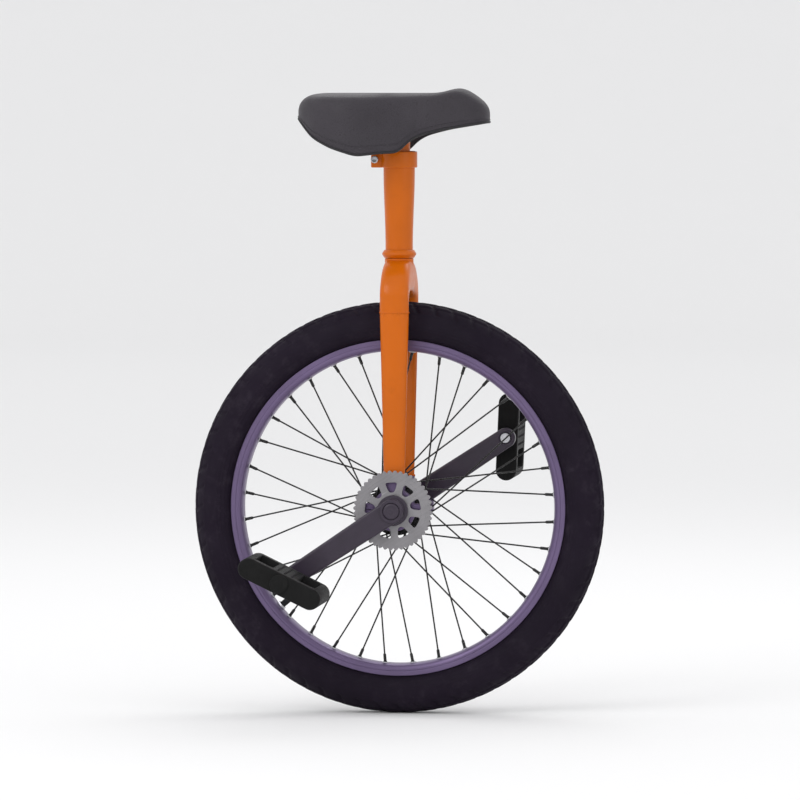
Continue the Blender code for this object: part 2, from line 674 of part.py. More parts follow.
def build_crank_bolt(label, side, wheel):
    """Bolt that pulls the crank on, and the cap that closes the counterbore."""
    seat = COUNTERBORE_FLOOR + GAP
    tip = AXLE_SHOULDER + CUT_MARGIN
    flange_radius, flange_thickness = CRANK_BOLT_FLANGE
    bolt = [(0.0, CRANK_BOLT_TOP), (CRANK_BOLT_HEAD_RADIUS, CRANK_BOLT_TOP),
            (CRANK_BOLT_HEAD_RADIUS, seat + flange_thickness), (flange_radius, seat + flange_thickness),
            (flange_radius, seat), (CRANK_BOLT_SHANK_RADIUS, seat), (CRANK_BOLT_SHANK_RADIUS, tip), (0.0, tip)]
    keep(turned(f"crank_bolt_{label}", bolt, 12, closed=False), "black_steel", wheel, rotation=upright(side))
    cap = turned(f"crank_cap_{label}", CRANK_CAP_PROFILE, 20, closed=False)
    keep(cap, "dark_paint", wheel, rotation=upright(side))


def disc_loops():
    """Toothed rim, nine windows and the bore; one window lies along the crank."""
    teeth = []
    pitch = 2 * math.pi / DISC_TEETH
    for i in range(DISC_TEETH):
        teeth.append((DISC_ROOT_RADIUS * math.cos(pitch * i), DISC_ROOT_RADIUS * math.sin(pitch * i)))
        for part in TOOTH_FLAT:
            angle = pitch * (i + part)
            teeth.append((DISC_TIP_RADIUS * math.cos(angle), DISC_TIP_RADIUS * math.sin(angle)))
    loops = [teeth, circle(DISC_BORE_RADIUS, 24)]
    for i in range(DISC_WINDOWS):
        middle = 360.0 * i / DISC_WINDOWS
        centre = (0.0, 0.0)
        inner, outer = WINDOW_INNER_SPREAD, WINDOW_OUTER_SPREAD
        sides = arc(centre, WINDOW_OUTER_RADIUS - WINDOW_CORNER, middle + WINDOW_SIDE_SPREAD,
                    middle - WINDOW_SIDE_SPREAD, 1)
        window = arc(centre, WINDOW_INNER_RADIUS, middle - inner, middle + inner, 1)
        window += sides[:1] + arc(centre, WINDOW_OUTER_RADIUS, middle + outer, middle - outer, 2) + sides[1:]
        loops.append(window)
    return loops


def build_disc(wheel):
    """Toothed disc between the right crank's seat and a lock ring on its inboard side."""
    disc = plate("toothed_disc", disc_loops(), DISC_OUTER_FACE - DISC_INNER_FACE)
    keep(disc, "grey_steel", wheel, location=(0.0, -(DISC_INNER_FACE + DISC_OUTER_FACE) / 2, 0.0),
         rotation=upright(-1, CRANK_ANGLE[-1]))
    lock = ring("disc_lock_ring", DISC_BORE_RADIUS, LOCK_RING_RADIUS, BOSS_INNER_FACE + GAP,
                DISC_INNER_FACE - GAP, 20)
    keep(lock, "black_steel", wheel, rotation=upright(-1))


def build_pedal(label, side, wheel, pedal):
    """Spindle and nut on the crank; body, bushes and end cap turn on them."""
    half = PEDAL_LENGTH / 2 - PEDAL_THICKNESS / 2
    round_end = PEDAL_THICKNESS / 2
    outline = arc((half, 0.0), round_end, -90, 90, 6) + arc((-half, 0.0), round_end, 90, 270, 6)
    body = plate(f"pedal_body_{label}", [outline, circle(PEDAL_BORE, 16)], PEDAL_OUTER_END - PEDAL_INNER_END)
    middle = (PEDAL_INNER_END + PEDAL_OUTER_END) / 2
    tilt = upright(side, PEDAL_TILT[side])
    keep(body, "black_plastic", pedal, location=(0.0, side * middle, 0.0), rotation=tilt)
    for end in (-1, 1):
        window = box(f"pedal_window_{label}_{end + 1}",
                     (PEDAL_WINDOW_WIDTH, 2 * PEDAL_THICKNESS, PEDAL_WINDOW_LENGTH),
                     (end * PEDAL_WINDOW_CENTRE, 0.0, 0.0))
        as_cutter(window, pedal, location=(0.0, side * middle, 0.0), rotation=tilt)
        boolean(body, window)
    for place, low in BUSH_STARTS.items():
        bush = ring(f"pedal_bush_{place}_{label}", SPINDLE_RADIUS + BUSH_CLEARANCE, BUSH_RADIUS, low,
                    low + BUSH_LENGTH, 14)
        keep(bush, "bright_steel", pedal, rotation=upright(side))
    seat = PEDAL_OUTER_END + GAP
    cap = [(0.0, PEDAL_CAP_TOP), (PEDAL_CAP_RADIUS - PEDAL_CAP_CHAMFER, PEDAL_CAP_TOP),
           (PEDAL_CAP_RADIUS, PEDAL_CAP_TOP - PEDAL_CAP_CHAMFER), (PEDAL_CAP_RADIUS, seat),
           (BUSH_RADIUS, seat), (BUSH_RADIUS, PEDAL_CAP_PLUG_END), (0.0, PEDAL_CAP_PLUG_END)]
    keep(turned(f"pedal_end_cap_{label}", cap, 16, closed=False), "black_plastic", pedal,
         rotation=upright(side))
    build_spindle(label, side, wheel)


def build_spindle(label, side, wheel):
    """Pedal spindle screwed into the crank's eye, and the nut at its outboard end."""
    stud_radius, stud_start, stud_end = SPINDLE_STUD
    flange_radius, flange_end = SPINDLE_FLANGE
    seat = CRANK_OUTER_FACE + GAP
    spindle = [(0.0, stud_end), (stud_radius, stud_end), (stud_radius, stud_start),
               (SPINDLE_RADIUS, stud_start), (SPINDLE_RADIUS, flange_end), (flange_radius, flange_end),
               (flange_radius, seat), (SPINDLE_THREAD_RADIUS, seat), (SPINDLE_THREAD_RADIUS, SPINDLE_START),
               (0.0, SPINDLE_START)]
    place = wheel_point(CRANK_LENGTH, CRANK_ANGLE[side], 0.0)
    keep(turned(f"pedal_spindle_{label}", spindle, 16, closed=False), "bright_steel", wheel,
         location=place, rotation=upright(side))
    loops = [circle(PEDAL_NUT_RADIUS, 6), circle(PEDAL_NUT_BORE, 12)]
    nut = plate(f"pedal_nut_{label}", loops, PEDAL_NUT_THICKNESS)
    keep(nut, "bright_steel", wheel, location=(place[0], side * PEDAL_NUT_CENTRE, place[2]),
         rotation=upright(side))


# ---------------------------------------------------------------- frame

def build_legs(frame):
    """Oval tapered fork legs, open at both ends."""
    for label, side in SIDES.items():
        leg = cone(f"fork_leg_{label}", 1.0, 1.0, 0.0, 1.0, 20, caps=False)
        for vertex in leg.data.vertices:
            half = LEG_TOP_HALF if vertex.co.z > 0.5 else LEG_BOTTOM_HALF
            vertex.co.x *= half[0]
            vertex.co.y *= half[1]
            vertex.co.z *= LEG_TOP - LEG_BOTTOM
        keep(leg, "orange_paint", frame, location=(0.0, side * LEG_OFFSET, LEG_BOTTOM))
        solidify(leg, TUBE_THICKNESS, -1.0)


def housing_outline(upper):
    """Half a bearing housing with its two lugs; the upper half has the stub for the leg."""
    sign = 1 if upper else -1
    split = GAP / 2
    lug = HOUSING_LUG_HEIGHT
    bore = arc((0.0, 0.0), HOUSING_BORE, HOUSING_SPLIT_ANGLE, 180 - HOUSING_SPLIT_ANGLE, 12)
    lug_angle = math.degrees(math.asin(lug / HOUSING_RADIUS))
    outline = [(x, max(y, split)) for x, y in bore]
    outline += [(-HOUSING_LUG_REACH, split), (-HOUSING_LUG_REACH, lug)]
    if upper:
        stub = LEG_BOTTOM_HALF[0]
        stub_angle = math.degrees(math.acos(stub / HOUSING_RADIUS))
        outline += arc((0.0, 0.0), HOUSING_RADIUS, 180 - lug_angle, 180 - stub_angle, 3)
        outline += [(-stub, HOUSING_STUB_TOP), (stub, HOUSING_STUB_TOP)]
        outline += arc((0.0, 0.0), HOUSING_RADIUS, stub_angle, lug_angle, 3)
    else:
        outline += arc((0.0, 0.0), HOUSING_RADIUS, 180 - lug_angle, lug_angle, 10)
    outline += [(HOUSING_LUG_REACH, lug), (HOUSING_LUG_REACH, split)]
    return [(x, sign * y) for x, y in outline]


def build_housings(frame):
    """Split bearing housings, bolted together fore and aft of the axle."""
    for label, side in SIDES.items():
        centre = (0.0, side * BEARING_CENTRE, AXLE_HEIGHT)
        holes = []
        for end, x in (("rear", -HOUSING_BOLT_X), ("front", HOUSING_BOLT_X)):
            hole = cone(f"housing_hole_{end}_{label}", HOUSING_BOLT_HOLE, HOUSING_BOLT_HOLE,
                        -HOUSING_RADIUS, HOUSING_RADIUS, 8)
            place = (x, centre[1], AXLE_HEIGHT)
            holes.append(as_cutter(hole, frame, location=place))
            under = -HOUSING_LUG_HEIGHT - GAP
            head_radius, head_height = HOUSING_BOLT_HEAD
            bolt = [(0.0, HOUSING_BOLT_TOP), (HOUSING_BOLT_RADIUS, HOUSING_BOLT_TOP),
                    (HOUSING_BOLT_RADIUS, under), (head_radius, under),
                    (head_radius, under - head_height), (0.0, under - head_height)]
            keep(turned(f"housing_bolt_{end}_{label}", bolt, 10, closed=False), "black_steel", frame,
                 location=place)
        for half, upper in (("upper", True), ("lower", False)):
            housing = plate(f"bearing_housing_{half}_{label}", [housing_outline(upper)],
                            2 * HOUSING_HALF_WIDTH)
            keep(housing, "rim_metal", frame, location=centre, rotation=upright(-1))
            for hole in holes:
                boolean(housing, hole)


def crown_outline():
    """Arch over the tyre, seen from the front as (y, z)."""
    outer = []
    inner = []
    for i in range(7):
        angle = math.radians(90.0 * i / 6)
        outer.append((CROWN_NECK_HALF + (CROWN_OUTER_HALF - CROWN_NECK_HALF) * math.cos(angle),
                      CROWN_SHOULDER + (CROWN_TOP - CROWN_SHOULDER) * math.sin(angle)))
        inner.append((CROWN_INNER_HALF * math.cos(angle),
                      CROWN_ARCH_SPRING + (CROWN_ARCH_TOP - CROWN_ARCH_SPRING) * math.sin(angle)))
    foot = LEG_TOP + GAP
    right_half = [(CROWN_INNER_HALF, foot), (CROWN_OUTER_HALF, foot)] + outer
    left_half = [(-y, z) for y, z in reversed(right_half)]
    arch = [(-y, z) for y, z in inner[:-1]] + list(reversed(inner))
    return right_half + left_half + arch


def build_crown(frame):
    """Fork crown, with the collar ring where the neck stands on it."""
    crown = plate("fork_crown", [crown_outline()], 2 * CROWN_HALF_DEPTH)
    keep(crown, "orange_paint", frame, rotation=(math.pi / 2, 0.0, math.pi / 2))
    bevel(crown, CROWN_EDGE, segments=2, angle=60.0)
    low = NECK_BOTTOM + COLLAR_LIFT
    high = low + COLLAR_HEIGHT
    bore = NECK_RADIUS + COLLAR_CLEARANCE
    collar = [(COLLAR_EDGE_RADIUS, high), (COLLAR_RADIUS, (low + high) / 2), (COLLAR_EDGE_RADIUS, low),
              (bore, low), (bore, high)]
    keep(turned("collar_ring", collar, 24), "orange_paint", frame)


def build_neck(frame):
    """Neck tube that flares to its slotted top."""
    profile = [(NECK_TOP_RADIUS, NECK_TOP), (NECK_TOP_RADIUS, NECK_FLARE_END),
               (NECK_RADIUS, NECK_FLARE_START), (NECK_RADIUS, NECK_BOTTOM), (NECK_BORE, NECK_BOTTOM),
               (NECK_BORE, NECK_TOP)]
    neck = keep(turned("neck_tube", profile, 24), "orange_paint", frame)
    slot = box("neck_slot", NECK_SLOT, NECK_SLOT_CENTRE)
    boolean(neck, as_cutter(slot, frame))


def clamp_outline():
    """Open ring with two ears at the back, seen from above."""
    slot = math.degrees(math.asin(CLAMP_SLOT_HALF / CLAMP_BORE))
    ear = math.degrees(math.asin(CLAMP_EAR_HALF / CLAMP_RADIUS))
    inner = arc((0.0, 0.0), CLAMP_BORE, 180 - slot, -180 + slot, 22)
    outer = arc((0.0, 0.0), CLAMP_RADIUS, -180 + ear, 180 - ear, 22)
    lower_ear = [(-CLAMP_EAR_REACH, -CLAMP_SLOT_HALF), (-CLAMP_EAR_REACH, -CLAMP_EAR_HALF)]
    upper_ear = [(-CLAMP_EAR_REACH, CLAMP_EAR_HALF), (-CLAMP_EAR_REACH, CLAMP_SLOT_HALF)]
    return inner + lower_ear + outer + upper_ear


def build_clamp(frame):
    """Seat clamp with its bolt and nut across the ears."""
    middle = (CLAMP_BOTTOM + CLAMP_TOP) / 2
    clamp = plate("seat_clamp", [clamp_outline()], CLAMP_TOP - CLAMP_BOTTOM)
    keep(clamp, "orange_paint", frame, location=(0.0, 0.0, middle))
    place = (CLAMP_BOLT_X, 0.0, middle)
    hole = cone("clamp_hole", CLAMP_BOLT_HOLE, CLAMP_BOLT_HOLE, -2 * CLAMP_EAR_HALF, 2 * CLAMP_EAR_HALF, 8)
    boolean(clamp, as_cutter(hole, frame, location=place, rotation=upright(-1)))
    under = CLAMP_EAR_HALF + GAP
    head_radius, head_height = CLAMP_BOLT_HEAD
    bolt = [(0.0, under + head_height), (head_radius, under + head_height), (head_radius, under),
            (CLAMP_BOLT_RADIUS, under), (CLAMP_BOLT_RADIUS, CLAMP_BOLT_TIP), (0.0, CLAMP_BOLT_TIP)]
    keep(turned("clamp_bolt", bolt, 12, closed=False), "bright_steel", frame, location=place,
         rotation=upright(-1))
    nut = plate("clamp_nut", [circle(CLAMP_NUT_RADIUS, 6), circle(CLAMP_NUT_BORE, 10)], CLAMP_NUT_THICKNESS)
    keep(nut, "bright_steel", frame, location=(place[0], under + CLAMP_NUT_THICKNESS / 2, middle),
         rotation=upright(1))


# ---------------------------------------------------------------- seat post and saddle

def saddle_half_width(x):
    """Half width of the saddle's plan: broad at the tail, narrow at the waist and nose."""
    blend = min(max((SADDLE_REAR_START - x) / SADDLE_REAR_RUN, 0.0), 1.0)
    return SADDLE_WAIST_HALF + SADDLE_REAR_EXTRA * blend * blend * (3.0 - 2.0 * blend)


def saddle_top(x):
    """Height of the saddle's ridge: level, with a rise behind the nose and rounded ends."""
    u = (x - SADDLE_CENTRE_X) / SADDLE_HALF_LENGTH
    fall, power = SADDLE_NOSE_DROP if u > 0.0 else SADDLE_TAIL_DROP
    rise = SADDLE_NOSE_RISE * math.exp(-((x - SADDLE_NOSE_X) / SADDLE_NOSE_SPREAD) ** 2)
    return SADDLE_TOP + rise - fall * min(abs(u), 1.0) ** power


def along(line, x):
    """Height on a line of (x, z) points."""
    return float(np.interp(x, [point[0] for point in line], [point[1] for point in line]))


def cover_height(x, drop):
    """Height on the cover: drop is 0 at the ridge and 1 at the skirt's lower edge."""
    return saddle_top(x) * (1.0 - drop) + along(SKIRT_EDGE, x) * drop


def saddle_ring(spread, height, inset=0.0):
    """Points round the saddle's plan, drawn in towards its spine by spread, at height(x)."""
    points = []
    power = 2.0 / SADDLE_ROUNDNESS
    for i in range(SADDLE_STATIONS):
        angle = 2 * math.pi * i / SADDLE_STATIONS
        c, s = math.cos(angle), math.sin(angle)
        reach = math.copysign(abs(c) ** power, c)
        edge_x = SADDLE_CENTRE_X + (SADDLE_HALF_LENGTH - inset) * reach
        edge_y = (saddle_half_width(edge_x) - inset) * math.copysign(abs(s) ** power, s)
        spine_x = SADDLE_CENTRE_X + SADDLE_SPINE * SADDLE_HALF_LENGTH * reach
        x = spine_x + (edge_x - spine_x) * spread
        points.append((x, edge_y * spread, height(x)))
    return points


def ring_surface(name, rings, cap_first=False):
    """Skin over rings of equal size from the lowest to the last, which is closed across."""
    size = len(rings[0])
    points = [point for one in rings for point in one]
    faces = []
    for level in range(len(rings) - 1):
        for i in range(size):
            a = level * size + i
            b = level * size + (i + 1) % size
            faces.append((a, b, b + size, a + size))
    last = (len(rings) - 1) * size
    for i in range(size // 2):
        faces.append((last + i, last + i + 1, last + size - i - 1, last + (size - i) % size))
        if cap_first:
            faces.append(((size - i) % size, size - i - 1, i + 1, i))
    mesh = bpy.data.meshes.new(name)
    work = bmesh.new()
    verts = [work.verts.new(point) for point in points]
    for face in faces:
        corners = list(dict.fromkeys(face))
        work.faces.new([verts[i] for i in corners])
    work.to_mesh(mesh)
    work.free()
    return bpy.data.objects.new(name, mesh)


def build_saddle(saddle):
    """Base shell, foam and cover."""
    rings = [saddle_ring(spread, lambda x, d=drop: cover_height(x, d)) for spread, drop in COVER_RINGS]
    cover = keep(ring_surface("saddle_cover", rings), "saddle_vinyl", saddle)
    solidify(cover, COVER_THICKNESS, -1.0)

    def base_low(x):
        return along(BASE_LINE, x)

    def foam_low(x):
        return base_low(x) + BASE_THICKNESS + FOAM_CLEARANCE

    rings = [saddle_ring(spread, base_low, FOAM_INSET + 0.001) for spread in BASE_SPREADS]
    base = keep(ring_surface("saddle_base", rings), "black_plastic", saddle)
    solidify(base, BASE_THICKNESS, 1.0)
    rings = [saddle_ring(spread, foam_low, FOAM_INSET) for spread in reversed(BASE_SPREADS)]
    for spread, drop in [FOAM_SIDE] + COVER_RINGS[3:]:

        def foam_high(x, d=drop):
            return max(cover_height(x, d) - FOAM_INSET, foam_low(x) + FOAM_LEAST_HEIGHT)

        rings.append(saddle_ring(spread, foam_high, FOAM_INSET))
    keep(ring_surface("saddle_foam", rings, cap_first=True), "foam", saddle)
    return base


def rounded_rectangle(half_x, half_y, corner):
    """A rectangle's outline with round corners."""
    points = []
    for x, y, start in ((1, 1, 0), (-1, 1, 90), (-1, -1, 180), (1, -1, 270)):
        points += arc((x * (half_x - corner), y * (half_y - corner)), corner, start, start + 90, 3)
    return points


def build_post(post, saddle, base):
    """Seat post, and the head plate that the saddle is bolted to."""
    keep(ring("seat_post", POST_BORE, POST_RADIUS, POST_BOTTOM, POST_TOP, 24), "orange_paint", post)
    bottom = POST_TOP + GAP
    loops = [rounded_rectangle(*PLATE_HALF, PLATE_CORNER)]
    for x in SADDLE_BOLTS.values():
        for side in SIDES.values():
            loops.append(circle(SADDLE_BOLT_HOLE, 8, (x - PLATE_CENTRE_X, side * SADDLE_BOLT_Y)))
    keep(plate("post_head_plate", loops, PLATE_THICKNESS), "black_steel", saddle,
         location=(PLATE_CENTRE_X, 0.0, bottom + PLATE_THICKNESS / 2))
    for end, x in SADDLE_BOLTS.items():
        for label, side in SIDES.items():
            place = (x, side * SADDLE_BOLT_Y, 0.0)
            hole = cone(f"saddle_hole_{end}_{label}", SADDLE_BOLT_HOLE, SADDLE_BOLT_HOLE,
                        *SADDLE_HOLE_SPAN, 8)
            boolean(base, as_cutter(hole, saddle, location=place))
            tip = BASE_BOTTOM + BASE_THICKNESS - GAP
            under = bottom - GAP
            head_radius, head_height = SADDLE_BOLT_HEAD
            bolt = [(0.0, tip), (SADDLE_BOLT_RADIUS, tip), (SADDLE_BOLT_RADIUS, under), (head_radius, under),
                    (head_radius, under - head_height), (0.0, under - head_height)]
            keep(turned(f"saddle_bolt_{end}_{label}", bolt, 10, closed=False), "bright_steel", saddle,
                 location=place)


# ---------------------------------------------------------------- assembly

def build_unicycle():
    """Every piece under the empty of the joint that it moves with."""
    frame = empty("frame_origin")
    wheel = empty("wheel_axis", frame, (0.0, 0.0, AXLE_HEIGHT))
    post = empty("seat_post_axis", frame)
    saddle = empty("saddle_axis", post)
    build_tyre(wheel)
    build_rim(wheel)
    build_tube(wheel)
    build_spokes(wheel)
    build_hub(wheel)
    build_bearings(frame, wheel)
    build_cranks(wheel)
    build_disc(wheel)
    for label, side in SIDES.items():
        place = wheel_point(CRANK_LENGTH, CRANK_ANGLE[side], 0.0)
        build_pedal(label, side, wheel, empty(f"pedal_axis_{label}", wheel, place))
    build_legs(frame)
    build_housings(frame)
    build_crown(frame)
    build_neck(frame)
    build_clamp(frame)
    base = build_saddle(saddle)
    build_post(post, saddle, base)


build_unicycle()
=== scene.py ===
"""The looks of the unicycle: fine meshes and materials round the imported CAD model.

Metres, in the CAD's frame: +X forward, +Y to the rider's left, +Z up. The axle runs along Y.
"""

import json
import math

import bmesh
import bpy
import numpy as np
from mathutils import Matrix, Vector


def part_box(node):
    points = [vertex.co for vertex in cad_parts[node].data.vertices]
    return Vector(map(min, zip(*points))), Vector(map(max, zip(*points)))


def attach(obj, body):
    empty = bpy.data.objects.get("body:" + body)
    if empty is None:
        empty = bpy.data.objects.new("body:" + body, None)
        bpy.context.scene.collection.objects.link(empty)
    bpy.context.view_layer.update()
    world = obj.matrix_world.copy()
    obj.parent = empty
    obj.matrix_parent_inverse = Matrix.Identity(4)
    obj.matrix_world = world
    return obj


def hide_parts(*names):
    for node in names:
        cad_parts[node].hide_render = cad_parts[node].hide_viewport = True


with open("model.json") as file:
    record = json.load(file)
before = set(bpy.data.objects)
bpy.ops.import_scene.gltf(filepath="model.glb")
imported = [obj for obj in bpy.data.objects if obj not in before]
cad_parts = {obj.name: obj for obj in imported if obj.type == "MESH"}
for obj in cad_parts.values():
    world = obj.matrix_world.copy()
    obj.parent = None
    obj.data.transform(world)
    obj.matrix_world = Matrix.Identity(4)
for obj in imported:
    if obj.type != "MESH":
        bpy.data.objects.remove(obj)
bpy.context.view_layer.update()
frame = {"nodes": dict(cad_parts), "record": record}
SIDES = {"right": -1, "left": 1}
ORIGIN = Vector((0.0, 0.0, 0.0))
FORWARD = Vector((1.0, 0.0, 0.0))
LEFT = Vector((0.0, 1.0, 0.0))
UP = Vector((0.0, 0.0, 1.0))


# ---------------------------------------------------------------- places read from the frame

def low(node):
    """Lowest corner of a CAD node."""
    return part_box(node)[0]


def high(node):
    """Highest corner of a CAD node."""
    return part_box(node)[1]


def middle(node):
    """Centre of a CAD node's box."""
    return (low(node) + high(node)) / 2


def half_size(node):
    """Half of a CAD node's box along each axis."""
    return (high(node) - low(node)) / 2


AXLE = middle("hub_axle")
TYRE_RADIUS = half_size("tyre").x
RIM_RADIUS = half_size("rim").x
RIM_HALF = half_size("rim").y
FLANGE_RADIUS = half_size("hub_shell").x
HUB_HALF = half_size("hub_shell").y
PEDAL_PLACE = {label: middle(f"pedal_spindle_{label}") for label in SIDES}
CRANK_ANGLE = {label: math.atan2(place.z - AXLE.z, place.x - AXLE.x) for label, place in PEDAL_PLACE.items()}
CRANK_LENGTH = math.hypot(PEDAL_PLACE["right"].z - AXLE.z, PEDAL_PLACE["right"].x - AXLE.x)

# Colours, sRGB
COLOURS = {
    "tyre": "1a131f", "rim": "68597a", "orange": "c45f00", "disc": "8b898c", "crank": "332b38",
    "pedal": "131313", "spoke": "101010", "saddle": "38343a", "steel": "b4b4b8", "black_steel": "1c1c1e",
    "base": "1d1c1f", "foam": "d9cfa8", "tape": "b3a789", "tube": "26262a", "thread": "2a262c",
    "floor": "f0f0f0", "dust": "6f6672", "bare": "a9a3a8",
}


def rgb(name, factor=1.0):
    """A named colour as linear RGBA, scaled by factor."""
    channels = []
    for byte in bytes.fromhex(COLOURS[name]):
        value = byte / 255
        value = value / 12.92 if value <= 0.04045 else ((value + 0.055) / 1.055) ** 2.4
        channels.append(min(1.0, value * factor))
    return (*channels, 1.0)


# ---------------------------------------------------------------- material helpers

class Surface:
    """A Principled material, with short ways to add procedural texture."""

    def __init__(self, name, **sockets):
        self.material = bpy.data.materials.new(name)
        self.material.use_nodes = True
        self.tree = self.material.node_tree
        self.shader = self.tree.nodes["Principled BSDF"]
        for socket, value in sockets.items():
            self.shader.inputs[socket.replace("_", " ")].default_value = value
        self.place = self.tree.nodes.new("ShaderNodeTexCoord").outputs["Object"]
        self.normal = None

    def add(self, kind, inputs, output=0, **settings):
        """One output of a new node, whose inputs are each a socket to link or a constant."""
        node = self.tree.nodes.new("ShaderNode" + kind)
        for key, value in settings.items():
            setattr(node, key, value)
        for socket, value in inputs.items():
            if isinstance(value, bpy.types.NodeSocket):
                self.tree.links.new(value, node.inputs[socket])
            else:
                node.inputs[socket].default_value = value
        return node.outputs[output]

    def stretched(self, scale):
        """Object coordinates, scaled along each axis."""
        return self.add("Mapping", {"Vector": self.place, "Scale": scale})

    def rings(self, radial, across, around):
        """Coordinates that run in circles round the axle: radius, width and a slow turn."""
        shift = self.add("VectorMath", {0: self.place, 1: AXLE}, operation="SUBTRACT")
        flat = self.add("VectorMath", {0: shift, 1: (1.0, 0.0, 1.0)}, operation="MULTIPLY")
        length = self.add("VectorMath", {0: flat}, "Value", operation="LENGTH")
        unit = self.add("VectorMath", {0: flat}, operation="NORMALIZE")
        slow = self.add("VectorMath", {0: unit, "Scale": around}, operation="SCALE")
        width = self.add("SeparateXYZ", {0: shift}, "Y")
        joined = self.add("CombineXYZ", {0: self.times(length, radial), 1: self.times(width, across)})
        return self.add("VectorMath", {0: joined, 1: slow}, operation="ADD")

    def noise(self, scale, detail=3.0, roughness=0.55, vector=None):
        """Fractal noise."""
        inputs = {"Vector": vector or self.place, "Scale": scale, "Detail": detail, "Roughness": roughness}
        return self.add("TexNoise", inputs, "Fac")

    def cells(self, scale, feature="F1"):
        """Distance to Voronoi cells."""
        return self.add("TexVoronoi", {"Vector": self.place, "Scale": scale}, "Distance", feature=feature)

    def edges(self, start, end):
        """1 on a piece's convex edges and 0 on its faces."""
        return self.spread(self.add("NewGeometry", {}, "Pointiness"), start, end)

    def spread(self, value, start, end, bottom=0.0, top=1.0):
        """Map start to end onto bottom to top, clamped."""
        inputs = {"Value": value, "From Min": start, "From Max": end, "To Min": bottom, "To Max": top}
        return self.add("MapRange", inputs)

    def times(self, one, other):
        """Product of two values."""
        return self.add("Math", {0: one, 1: other}, operation="MULTIPLY")

    def blend(self, factor, one, other):
        """Mix of two colours."""
        return self.add("Mix", {"Factor": factor, 6: one, 7: other}, 2, data_type="RGBA")

    def mottled(self, colour, dark, bright, scale, detail=5.0):
        """A named colour that wanders between two brightnesses."""
        patches = self.spread(self.noise(scale, detail), 0.3, 0.7)
        return self.blend(patches, rgb(colour, dark), rgb(colour, bright))

    def worn(self, base, edge, pattern, start, end, most, under):
        """The base colour, rubbed through to another on convex edges where a pattern is high."""
        rubbed = self.times(self.edges(*edge), self.spread(pattern, start, end, 0.0, most))
        return self.blend(rubbed, base, under)

    def colour(self, output):
        """Drive the base colour."""
        self.tree.links.new(output, self.shader.inputs["Base Color"])

    def roughness(self, pattern, smooth, coarse, end=0.7):
        """Let the roughness follow a pattern."""
        self.tree.links.new(self.spread(pattern, 0.3, end, smooth, coarse), self.shader.inputs["Roughness"])

    def bump(self, height, strength, distance):
        """Add relief on top of any that is there."""
        inputs = {"Height": height, "Strength": strength, "Distance": distance}
        if self.normal is not None:
            inputs["Normal"] = self.normal
        self.normal = self.add("Bump", inputs)
        self.tree.links.new(self.normal, self.shader.inputs["Normal"])


# ---------------------------------------------------------------- materials

def tyre_rubber():
    """Violet-black rubber: fine grain and dusty patches."""
    s = Surface("tyre_rubber", Roughness=0.7, Specular_IOR_Level=0.12)
    patches = s.spread(s.noise(9.0, 5.0), 0.35, 0.7)
    base = s.blend(patches, rgb("tyre", 0.86), rgb("tyre", 1.22))
    dust = s.times(s.spread(s.noise(55.0, 6.0, 0.7), 0.52, 0.75, 0.0, 0.22), patches)
    s.colour(s.blend(dust, base, rgb("dust", 0.6)))
    s.roughness(s.noise(30.0, 4.0), 0.58, 0.8)
    s.bump(s.noise(1400.0, 3.0), 0.25, 0.0003)
    s.bump(s.noise(260.0, 4.0), 0.18, 0.0006)
    return s.material


def rim_metal():
    """Lilac-grey anodised aluminium with turned lines."""
    s = Surface("rim_metal", Metallic=0.55, Roughness=0.38, Specular_IOR_Level=0.5)
    lines = s.noise(1.0, 2.0, vector=s.rings(2600.0, 2600.0, 1.5))
    base = s.mottled("rim", 0.9, 1.14, 14.0, 4.0)
    s.colour(s.worn(base, (0.53, 0.62), s.noise(70.0, 5.0, 0.7), 0.4, 0.62, 0.6, rgb("bare")))
    s.roughness(lines, 0.3, 0.46)
    s.bump(lines, 0.1, 0.0002)
    return s.material


def frame_paint():
    """Orange enamel under a clear coat, with faint orange peel and a few rubbed edges."""
    s = Surface("frame_paint", Roughness=0.42, Coat_Weight=0.15, Coat_Roughness=0.15, Specular_IOR_Level=0.18)
    base = s.mottled("orange", 0.95, 1.08, 11.0, 4.0)
    grime = s.spread(s.noise(38.0, 7.0, 0.72), 0.6, 0.82, 0.0, 0.35)
    base = s.blend(grime, base, rgb("orange", 0.55))
    s.colour(s.worn(base, (0.545, 0.63), s.noise(160.0, 6.0, 0.75), 0.5, 0.62, 0.7, rgb("orange", 0.42)))
    s.roughness(s.noise(60.0, 5.0), 0.28, 0.46, 0.75)
    s.bump(s.noise(520.0, 2.0), 0.12, 0.0004)
    return s.material


def disc_steel():
    """Grey turned steel with greasy patches, a little polished on its teeth."""
    s = Surface("disc_steel", Metallic=0.5, Roughness=0.36, Specular_IOR_Level=0.5)
    lines = s.noise(1.0, 3.0, vector=s.rings(3600.0, 300.0, 2.2))
    grease = s.times(s.spread(s.noise(90.0, 6.0, 0.7), 0.52, 0.78, 0.0, 0.5), s.spread(lines, 0.3, 0.7, 0.5))
    base = s.blend(grease, s.mottled("disc", 0.82, 1.06, 45.0), rgb("disc", 0.35))
    s.colour(s.blend(s.edges(0.52, 0.6), base, rgb("disc", 1.5)))
    s.roughness(lines, 0.26, 0.5)
    s.bump(lines, 0.16, 0.0002)
    return s.material


def crank_paint():
    """Dark purple-grey enamel over forged steel, rubbed at the edges."""
    s = Surface("crank_paint", Roughness=0.42, Coat_Weight=0.15, Coat_Roughness=0.25, Specular_IOR_Level=0.3)
    base = s.mottled("crank", 0.88, 1.18, 35.0)
    s.colour(s.worn(base, (0.53, 0.6), s.noise(90.0, 6.0, 0.7), 0.45, 0.62, 0.3, rgb("bare", 0.55)))
    s.roughness(s.noise(90.0, 5.0), 0.32, 0.5)
    s.bump(s.noise(420.0, 4.0), 0.16, 0.0004)
    return s.material


